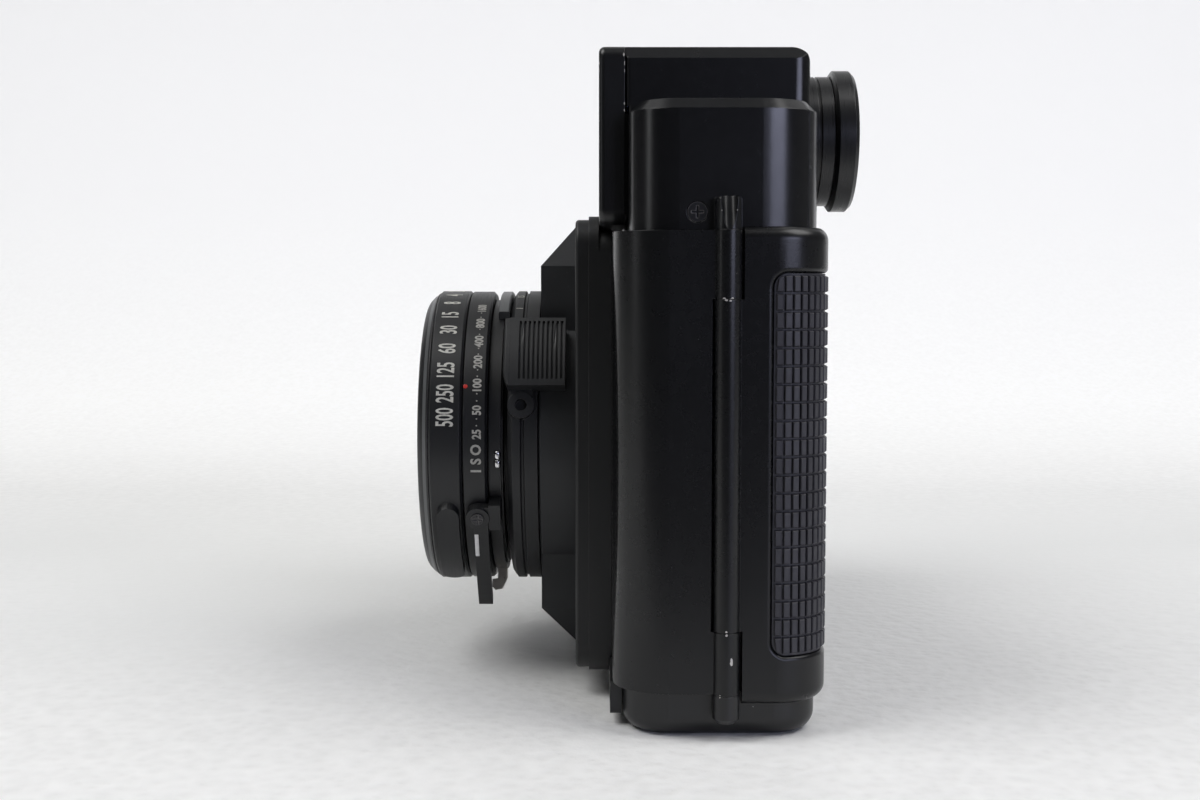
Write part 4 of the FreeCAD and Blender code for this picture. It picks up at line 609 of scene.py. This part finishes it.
# ------------------------------------------------------------------- the stage
def make_stage():
    # floor that sweeps up into the wall behind
    prof = [(1.6, 0.0), (0.9, 0.0), (0.45, 0.0), (0.2, 0.0), (0.0, 0.0), (-0.25, 0.0), (-0.40, 0.0)]
    R = 0.32
    for i in range(1, 13):
        a = math.pi / 2 * i / 12
        prof.append((-0.40 - R * math.sin(a), R * (1 - math.cos(a))))
    prof += [(-0.72, 0.35), (-0.72, 0.55)]
    ys = [-2.2, -1.4, -0.8, -0.4, 0.0, 0.4, 0.8, 1.4, 2.2]
    # the floor is wide, the wall behind is narrower
    verts = [(px, y * (1.0 - 0.66 * min(max((pz - 0.0) / 0.1, 0.0), 1.0)), pz) for px, pz in prof for y in ys]
    n = len(ys)
    faces = [(i * n + j, i * n + j + 1, (i + 1) * n + j + 1, (i + 1) * n + j) for i in range(len(prof) - 1) for j in range(n - 1)]
    me = bpy.data.meshes.new("floor")
    me.from_pydata(verts, [], faces)
    for p in me.polygons:
        p.use_smooth = True
    ob = bpy.data.objects.new("floor", me)
    bpy.context.scene.collection.objects.link(ob)
    k = Mat("floor_white")
    x, y, z = k.xyz()
    peb = k.voronoi(430.0, feature="SMOOTH_F1")
    fine = k.noise(900.0, 3.0, 0.6)
    soft = k.noise(190.0, 3.0, 0.55)
    h = k.math("ADD", k.math("MULTIPLY", peb, 0.8), k.math("ADD", k.math("MULTIPLY", fine, 0.3), k.math("MULTIPLY", soft, 0.8)))
    h = k.math("MULTIPLY", h, k.span(x, -0.34, 0.02, 0.0, 1.0))
    tone = k.span(k.math("ADD", k.math("MULTIPLY", peb, 0.6), k.math("MULTIPLY", soft, 0.5)), 0.2, 0.75)
    col = k.mix(tone, (0.78, 0.78, 0.77), (0.86, 0.86, 0.85))
    # painted shade: a faint broad band of painted shadow across the sheet, and its far end in front painted dark as the
    # shade of the dark room there
    band = k.math("MULTIPLY", k.span(x, -0.30, -0.13), k.span(x, -0.03, 0.05, 1.0, 0.0))
    wave = k.noise(5.0, 1.0, 0.4)
    col = k.mix(k.math("MULTIPLY", band, k.span(wave, 0.35, 0.6, 0.5, 1.0)), col, (0.74, 0.745, 0.735))
    front_shade_reach = k.math("MULTIPLY_ADD", k.math("ABSOLUTE", y), -0.5, x)
    col = k.mix(k.span(front_shade_reach, 0.105, 0.17), col, (0.26, 0.26, 0.265))
    col = k.mix(k.span(front_shade_reach, 0.17, 0.6), col, (0.07, 0.07, 0.075))
    up = k.span(z, 0.0, 0.14)
    wall = k.mix(up, col, (0.80, 0.80, 0.80))
    back = k.span(x, -0.25, -0.5)
    k.set(emit=(1.0, 1.0, 1.0), emit_k=k.math("MULTIPLY", back, WALL_GLOW))
    me.materials.append(k.set(color=wall, rough=k.span(fine, 0.3, 0.7, 0.5, 0.62), normal=k.bump(h, 6e-4, 0.5), spec=0.2))

    w = bpy.data.worlds.new("studio")
    bpy.context.scene.world = w
    w.use_nodes = True
    t = w.node_tree
    t.nodes.clear()
    out = t.nodes.new("ShaderNodeOutputWorld")
    bg = t.nodes.new("ShaderNodeBackground")
    co = t.nodes.new("ShaderNodeTexCoord")
    sep = t.nodes.new("ShaderNodeSeparateXYZ")
    t.links.new(co.outputs["Generated"], sep.inputs[0])
    # dark room in front of the object's side, bright behind, dim overhead
    ramp = t.nodes.new("ShaderNodeMapRange")
    ramp.interpolation_type = "SMOOTHSTEP"
    for i, v in enumerate((-0.95, -0.70, ROOM_BACK, ROOM_SIDE)):
        ramp.inputs[i + 1].default_value = v
    t.links.new(sep.outputs[0], ramp.inputs[0])
    dark = t.nodes.new("ShaderNodeMapRange")
    dark.interpolation_type = "SMOOTHSTEP"
    for i, v in enumerate((0.05, 0.6, 1.0, ROOM_FRONT / ROOM_SIDE)):
        dark.inputs[i + 1].default_value = v
    t.links.new(sep.outputs[0], dark.inputs[0])
    level = t.nodes.new("ShaderNodeMath")
    level.operation = "MULTIPLY"
    t.links.new(ramp.outputs[0], level.inputs[0])
    t.links.new(dark.outputs[0], level.inputs[1])
    up = t.nodes.new("ShaderNodeMapRange")
    up.interpolation_type = "SMOOTHSTEP"
    for i, v in enumerate((0.55, 0.9, 0.0, 1.0)):
        up.inputs[i + 1].default_value = v
    t.links.new(sep.outputs[2], up.inputs[0])
    mix = t.nodes.new("ShaderNodeMix")
    t.links.new(up.outputs[0], mix.inputs[0])
    # the left of the room is darker still
    left = t.nodes.new("ShaderNodeMapRange")
    left.interpolation_type = "SMOOTHSTEP"
    for i, v in enumerate((-0.70, -0.35, 0.30, 1.0)):
        left.inputs[i + 1].default_value = v
    t.links.new(sep.outputs[1], left.inputs[0])
    lower = t.nodes.new("ShaderNodeMath")
    lower.operation = "MULTIPLY"
    t.links.new(level.outputs[0], lower.inputs[0])
    t.links.new(left.outputs[0], lower.inputs[1])
    t.links.new(lower.outputs[0], mix.inputs[2])
    mix.inputs[3].default_value = ROOM_TOP
    t.links.new(mix.outputs[0], bg.inputs["Strength"])
    bg.inputs["Color"].default_value = (0.97, 0.98, 1.0, 1.0)
    t.links.new(bg.outputs[0], out.inputs[0])

    area("roof", (-0.58, 0.0, 0.90), (-0.10, 0.0, 0.0), 1.7, 0.55, ROOF_W, (1.0, 0.995, 0.985))
    area("left_high", (0.22, -0.68, 1.10), (0.0, 0.0, 0.0), 0.8, 0.8, HIGH_W, (1.0, 0.995, 0.99))
    area("right_high", (0.22, 0.68, 1.10), (0.0, 0.0, 0.0), 0.8, 0.8, HIGH_W, (1.0, 0.995, 0.99))
    area("left_window", (0.40, -1.16, 0.27), (0.06, 0.0, 0.09), 0.21, 0.30, LEFT_W, (0.97, 0.98, 1.0))
    area("right_window", (1.04, 0.69, 0.30), (0.06, 0.0, 0.09), 0.66, 0.36, RIGHT_W, (0.72, 0.75, 1.0))


# ------------------------------------------------------------------ the pieces
def main():
    make_camera()
    make_stage()
    bpy.context.scene.view_settings.view_transform = "Standard"

    satin = (0.0046, 0.0048, 0.0054)
    gloss = (0.0040, 0.0042, 0.0050)
    body_paint = paint("body_paint", satin, 0.265, spec=0.38, wear=0.0, dust=0.15, chips_and_glints=[
        ((65.45, 1.3, 76.2), 0.27, 2.3), ((65.5, -0.85, 72.2), 0.34, 0.8), ((65.6, 0.5, 72.25), 0.3, 0.8), ((65.55, 0.73, 13.45), 0.33, 2.7),
        ((65.6, -0.15, 17.9), 0.26, 1.0), ((65.4, -1.2, 7.95), 0.22, 0.8),
    ])
    door_paint = paint("door_paint", satin, 0.265, spec=0.38, wear=0.0, dust=0.15, chips_and_glints=[((65.55, -0.5, 72.0), 0.36, 0.6), ((65.6, 0.2, 71.9), 0.3, 0.6), ((65.6, -0.2, 18.45), 0.25, 0.8)])
    # the two pale spots on the hinge's top cap are painted highlights on the rim of its scoop
    top_paint = paint("top_paint", gloss, 0.24, wear=0.0, grain=2000.0, grain_h=7e-6, chips_and_glints=[((65.3, -1.25, 86.25), 0.2, 0.9), ((65.3, 1.2, 86.3), 0.2, 0.9)])
    base_paint = paint("base_paint", gloss, 0.29, wear=0.0, dust=0.15, grain=2000.0, chips_and_glints=[((65.4, -1.2, 7.6), 0.24, 0.8), ((62.0, 4.6, 5.2), 0.16, 1.0)])
    house_paint = paint("house_paint", gloss, 0.25, wear=0.0, dust=0.2, grain=1900.0, grain_h=5e-6)
    bezel_paint = paint("bezel_paint", gloss, 0.30, wear=0.0, dust=0.15, grain=2400.0, chips_and_glints=[
        ((50.0, -16.6, 113.15), 0.17, 3.6), ((50.0, -16.45, 111.6), 0.11, 4.0), ((50.0, -16.45, 110.4), 0.09, 4.0), ((50.0, -16.5, 104.9), 0.12, 2.5),
        ((50.0, -16.5, 103.8), 0.12, 2.2), ((49.35, -20.68, 111.7), 0.16, 2.6), ((49.35, -20.68, 110.3), 0.11, 1.6), ((49.35, -20.68, 102.1), 0.15, 1.0),
    ])
    panel_paint = paint("panel_paint", (0.0085, 0.0088, 0.0096), 0.46, grain=3200.0, grain_h=1.6e-5, wear=0.35)
    block_paint = paint("block_paint", (0.0200, 0.0212, 0.0235), 0.50, grain=3400.0, grain_h=2.0e-5, wear=0.3)
    dark = paint("dark_fitting", (0.010, 0.010, 0.011), 0.36, wear=0.9, grain=3000.0)
    # the screws' strong edge wear also serves as painted highlight on their rims and cross
    black_screw = paint("black_screw", (0.010, 0.010, 0.011), 0.28, wear=1.0, soft=0.00014, bare=0.3)
    pad_rubber = rubber("pad_rubber")
    # the pale spot in the groove below the lens axis is a painted glint
    lens_black = turned_black("lens_black", chips_and_glints=[((24.6, -39.3, 33.0), 0.3, 1.4)])
    ring_black = turned_black("ring_black", (0.0074, 0.0078, 0.0087), 0.40)
    eye_black = turned_black("eye_black", (0.0056, 0.0058, 0.0066), 0.30, lines=4200.0, height=2.5e-6)
    grip_plastic = paint("grip_plastic", (0.012, 0.0126, 0.0138), 0.46, grain=4200.0, grain_h=2.2e-5, wear=0.25)
    # grey satin line on the filter ring, and painted highlight on the top band of the aperture ring
    satin_and_sheen_grey = turned_black("satin_and_sheen_grey", (0.10, 0.104, 0.106), 0.36, lines=6500.0, wear=0.0)
    name_black = turned_black("name_black", (0.006, 0.006, 0.0065), 0.55, lines=2600.0, height=2.5e-5, wear=0.0)
    inner = flock("black_inner")
    chassis_m = cast("chassis_cast")
    seal = foam("seal_foam")
    steel = metal("steel", (0.56, 0.56, 0.57), 0.28, (1, 0.06, 1))
    spring_steel = metal("spring_steel", (0.42, 0.42, 0.44), 0.3, (0.08, 1, 1))
    bracket = metal("bracket_steel", (0.50, 0.47, 0.42), 0.34, (1, 1, 1), scale=2400.0)
    chrome = metal("chrome", (0.72, 0.72, 0.73), 0.16, (1, 1, 0.1))
    brass = metal("brass", (0.63, 0.47, 0.22), 0.34, (1, 1, 0.05), tarnish=(0.5, 0.42, 0.35), amount=0.5)
    roller = metal("roller_steel", (0.5, 0.5, 0.52), 0.3, (1, 1, 0.04))
    blade_m = blade("blade_metal")
    optic = glass("optic", (0.93, 0.95, 0.97), (0.62, 0.48, 1.0))
    rear_optic = glass("rear_optic", (0.95, 0.93, 0.90), (1.0, 0.72, 0.42))
    eye_glass = glass("eye_glass", (0.9, 0.93, 0.95), (0.55, 0.75, 1.0))
    window = glass("finder_glass", (0.80, 0.84, 0.88), (0.5, 0.62, 0.95))
    milk = frosted("frosted_window")
    cream = ink("cream_ink", (0.62, 0.61, 0.55))
    grey = ink("grey_ink", (0.46, 0.45, 0.41))
    red = ink("red_ink", (0.62, 0.028, 0.018), 0.42)

    finishes = {
        "chassis": chassis_m, "light_baffle": inner, "light_seal": seal, "front_cover": body_paint, "bottom_cover": base_paint,
        "tripod_socket": brass, "lower_front_plate": panel_paint, "top_cover": top_paint, "cover_screws": black_screw,
        "strap_lugs": chrome, "viewfinder_housing": house_paint, "finder_bezel": bezel_paint, "finder_window": window,
        "frame_line_window": milk, "finder_tube": inner, "eyepiece_mount": eye_black, "eyepiece_ring": eye_black,
        "eyepiece_glass": eye_glass, "hot_shoe": steel, "shoe_contact": brass, "lens_panel": panel_paint, "lens_block": block_paint,
        "helicoid_tube": lens_black, "sync_socket": chrome, "counter_window": window, "hinge_pin": steel, "release_spring": spring_steel,
        "lens_barrel": lens_black, "name_ring": name_black, "front_glass": optic, "shutter_case": inner, "rear_glass": rear_optic,
        "focus_ring": grip_plastic, "iso_ring": ring_black, "speed_ring": ring_black, "aperture_lever": lens_black,
        "takeup_spool": grip_plastic, "takeup_shaft": steel, "supply_stud": dark, "takeup_stud": dark,
        "guide_roller_supply": roller, "guide_roller_takeup": roller, "advance_lever": dark, "lever_cap": dark,
        "counter_dial": grip_plastic, "release_button": chrome, "release_collar": dark, "battery_cap": dark, "rear_door": door_paint,
        "pressure_springs": spring_steel, "pressure_plate": blade_m, "door_latch": dark,
    }
    for i in range(5):
        finishes["shutter_blade_%d" % (i + 1)] = blade_m
    for node, mat in finishes.items():
        ob = NODES[node]
        ob.data.materials.clear()
        ob.data.materials.append(mat)

    # rubber pad of the door
    path = Path()
    breaks = [0.0, 0.35, path.flat] + [path.flat + path.arc * i / 24 for i in range(1, 25)]
    far = path.length
    breaks += [path.flat + path.arc + (far - path.flat - path.arc) * i / 24 for i in range(1, 24)] + [far - 0.3, far]
    cell_pad(
        "door_pad_cells", lambda u, z, h: (*path.at(u, h), z), path.length, PAD_Z0, PAD_Z1, PAD_R,
        round(path.length / 1.44), 21, -0.45, 0.06, -PAD_D + 0.01, "door", pad_rubber, ["door_pad"], breaks,
    )
    # the same rubber on the grip
    gx0, gx1, gz0, gz1 = -78.8, -46.5, 14.0, 76.5
    cell_pad(
        "grip_cells", lambda u, z, h: (gx1 - u, -25.95 - h, z), gx1 - gx0, gz0, gz1, 1.6,
        22, 21, 0.0, 0.52, -0.52, "body", pad_rubber, ["grip_rubber"], [(gx1 - gx0) * i / 8 for i in range(9)],
    )

    # filter ring with its fine thread and satin line
    outer = [(-54.7, 26.35), (-54.62, 26.6), (-54.35, 27.05), (-53.62, 27.86), (-52.98, 28.3), (-52.86, 28.46), (-52.62, 28.62), (-52.52, 28.62), (-52.52, 26.1), (-52.52, 24.69), (-50.9, 24.69)]
    inner_p = [(-50.9, 24.12)]
    y = -51.2
    while y > -54.2:
        inner_p += [(y, 24.12), (y - 0.26, 24.27), (y - 0.34, 24.27), (y - 0.6, 24.12)]
        y -= 0.75
    inner_p += [(-54.45, 24.12), (-54.7, 24.4)]
    prof = outer + inner_p
    verts, faces = revolve(prof, 160)
    me_ring = mesh_object("filter_ring_threaded", verts, faces, None, "lens_unit", smooth=25, replaces=["filter_ring"], materials=[ring_black, satin_and_sheen_grey])
    for p in me_ring.data.polygons:
        c = p.center / MM
        r = math.hypot(c.x, c.z - AXIS_Z)
        p.material_index = 1 if -53.6 < c.y < -53.0 and r > 27.8 else 0

    # numbers and marks
    speeds = [("500", 11.3), ("250", 20.2), ("125", 29.6), ("60", 38.9), ("30", 48.3), ("15", 57.4), ("8", 66.8), ("4", 76.0), ("2", 85.2), ("1", 94.4)]
    text_on_ring("speed_numbers", [(t, a, -49.4, 3.25, 0.53) for t, a in speeds], "shutter_speed", cream, 29.0)
    films = [("25", 5.0), ("50", 13.9), ("100", 23.6), ("200", 33.0), ("400", 42.4), ("800", 52.2), ("1600", 62.6)]
    items = [(t, a, -43.45, 1.6, 0.84 if len(t) < 4 else 0.66) for t, a in films]
    items += [("I", -8.6, -43.6, 1.9, 0.95), ("S", -5.0, -43.6, 1.9, 0.95), ("O", -0.7, -43.6, 1.9, 0.95)]
    text_on_ring("film_speed_numbers", items, "film_speed", grey, 28.9, bold=0.03)
    dots = []
    for (t0, a0), (t1, a1) in zip(films, films[1:]):
        dots += [(a0 + (a1 - a0) * 0.36, -43.45, 0.14), (a0 + (a1 - a0) * 0.64, -43.45, 0.14)]
    ring_dots("film_speed_dots", dots, "film_speed", grey, 28.9)
    ring_dots("index_dot", [(23.0, -45.62, 0.42)], "film_speed", red, 28.92)
    distances = [("1", 62.0), ("1.5", 74.0), ("2", 86.0), ("3", 98.0), ("5", 110.0), ("10", 122.0)]
    text_on_ring("distance_numbers", [(t, a, -36.15, 1.3, 0.7) for t, a in distances], "focus", cream, 29.0)
    stops = [("4", 118.0), ("5.6", 128.0), ("8", 138.0), ("11", 148.0), ("16", 158.0), ("22", 168.0)]
    text_on_ring("aperture_numbers", [(t, a, -43.9, 1.9, 0.62) for t, a in stops], "film_speed", cream, 28.9)

    # bright end of the aperture ring in the groove: two rounded lugs on a foot
    verts, faces = [], []
    for a0, a1, lift in ((-8.35, -4.95, 0.42), (-4.95, -1.35, 0.5)):
        start, m, n = len(verts), 9, 12
        for i in range(m):
            u = -1 + 2 * i / (m - 1)
            w = max(1 - abs(u) ** 2.6, 0.0) ** (1 / 2.6)
            a = math.radians((a0 + a1) / 2 + (a1 - a0) / 2 * u)
            for j in range(n):
                t = 2 * math.pi * j / n
                y, h = -39.72 + 0.66 * (0.25 + 0.75 * w) * math.cos(t), lift * (0.2 + 0.8 * w) * math.sin(t)
                verts.append(((27.3 + h) * math.cos(a), y, AXIS_Z + (27.3 + h) * math.sin(a)))
        for i in range(m - 1):
            for j in range(n):
                k = (j + 1) % n
                faces.append((start + i * n + j, start + i * n + k, start + (i + 1) * n + k, start + (i + 1) * n + j))
        faces.append(tuple(start + j for j in reversed(range(n))))
        faces.append(tuple(start + (m - 1) * n + j for j in range(n)))
    mesh_object("index_clip", verts, faces, chrome, "aperture", smooth=60)
    flag = [(-39.3, 27.15), (-39.3, 29.2), (-39.6, 30.0), (-40.3, 31.4), (-41.6, 31.6), (-42.2, 31.0), (-42.2, 29.45), (-41.1, 29.3), (-41.1, 27.15)]
    v, f = revolve(flag, 8, a0=-84.5, a1=-77.0)
    mesh_object("stop_bracket", v, f, bracket, "aperture", smooth=30)
    # raised band on the upper half of the aperture ring, level with its neighbours; its satin grey is a painted
    # highlight standing in for the bright reflection on top
    band = [(-38.05, 27.1), (-38.05, 28.6), (-38.3, 28.9), (-39.95, 28.9), (-40.2, 28.6), (-40.2, 27.1)]
    v, f = revolve(band, 44, a0=60.0, a1=152.0)
    mesh_object("scale_band", v, f, satin_and_sheen_grey, "aperture", smooth=30)
    # smooth front edge of the focusing tab, its lower corner cut off
    verts, faces = [], []
    steps = 14
    for i in range(steps + 1):
        t = i / steps
        a = math.radians(21.2 + 25.6 * t)
        low = max(0.0, 1.0 - t / 0.16) * 0.75
        for y, r in ((-37.3, 29.1), (-37.3, 32.8), (-38.1 + low, 32.8), (-38.45 + low, 32.45), (-38.45 + low, 29.1)):
            verts.append((r * math.cos(a), y, AXIS_Z + r * math.sin(a)))
    for i in range(steps):
        for j in range(5):
            q = (j + 1) % 5
            faces.append((i * 5 + j, (i + 1) * 5 + j, (i + 1) * 5 + q, i * 5 + q))
    faces.append((0, 1, 2, 3, 4))
    faces.append(tuple(steps * 5 + j for j in reversed(range(5))))
    mesh_object("tab_edge", verts, faces, grip_plastic, "focus", smooth=30)
    # cross head on the aperture lever's boss
    screw_head("lever_pivot", -25.0, 31.45, -43.35, 1.25, 0.28, "aperture", black_screw)
    # silver line on the aperture finger
    pts = []
    for i in range(9):
        t = (4.6 + 9.5 * i / 8) / 36.5
        pts.append((-27.0 - 36.5 * t, 29.4 + 4.6 * t * t + 1.9 - 0.3 * t))
    verts, faces = [], []
    for a, r in pts:
        for y, h in ((-44.08, -0.1), (-44.08, 0.05), (-43.98, 0.09), (-43.42, 0.09), (-43.32, 0.05), (-43.32, -0.1)):
            rr = r + h
            verts.append((rr * math.cos(math.radians(a)), y, AXIS_Z + rr * math.sin(math.radians(a))))
    for i in range(len(pts) - 1):
        for k in range(6):
            m = (k + 1) % 6
            faces.append((i * 6 + k, i * 6 + m, (i + 1) * 6 + m, (i + 1) * 6 + k))
    faces.append(tuple(range(6)))
    faces.append(tuple((len(pts) - 1) * 6 + k for k in reversed(range(6))))
    mesh_object("lever_stripe", verts, faces, chrome, "aperture", smooth=40)

    # frame counter numbers under the window
    items = []
    for i in range(16):
        a = math.radians(90 + i * 18)
        items.append((str(i), -31.0 + 4.4 * math.cos(a), 7.2 + 4.4 * math.sin(a), 1.15, i * 18))
    text_flat("counter_numbers", items, "counter", cream, 96.2)


main()
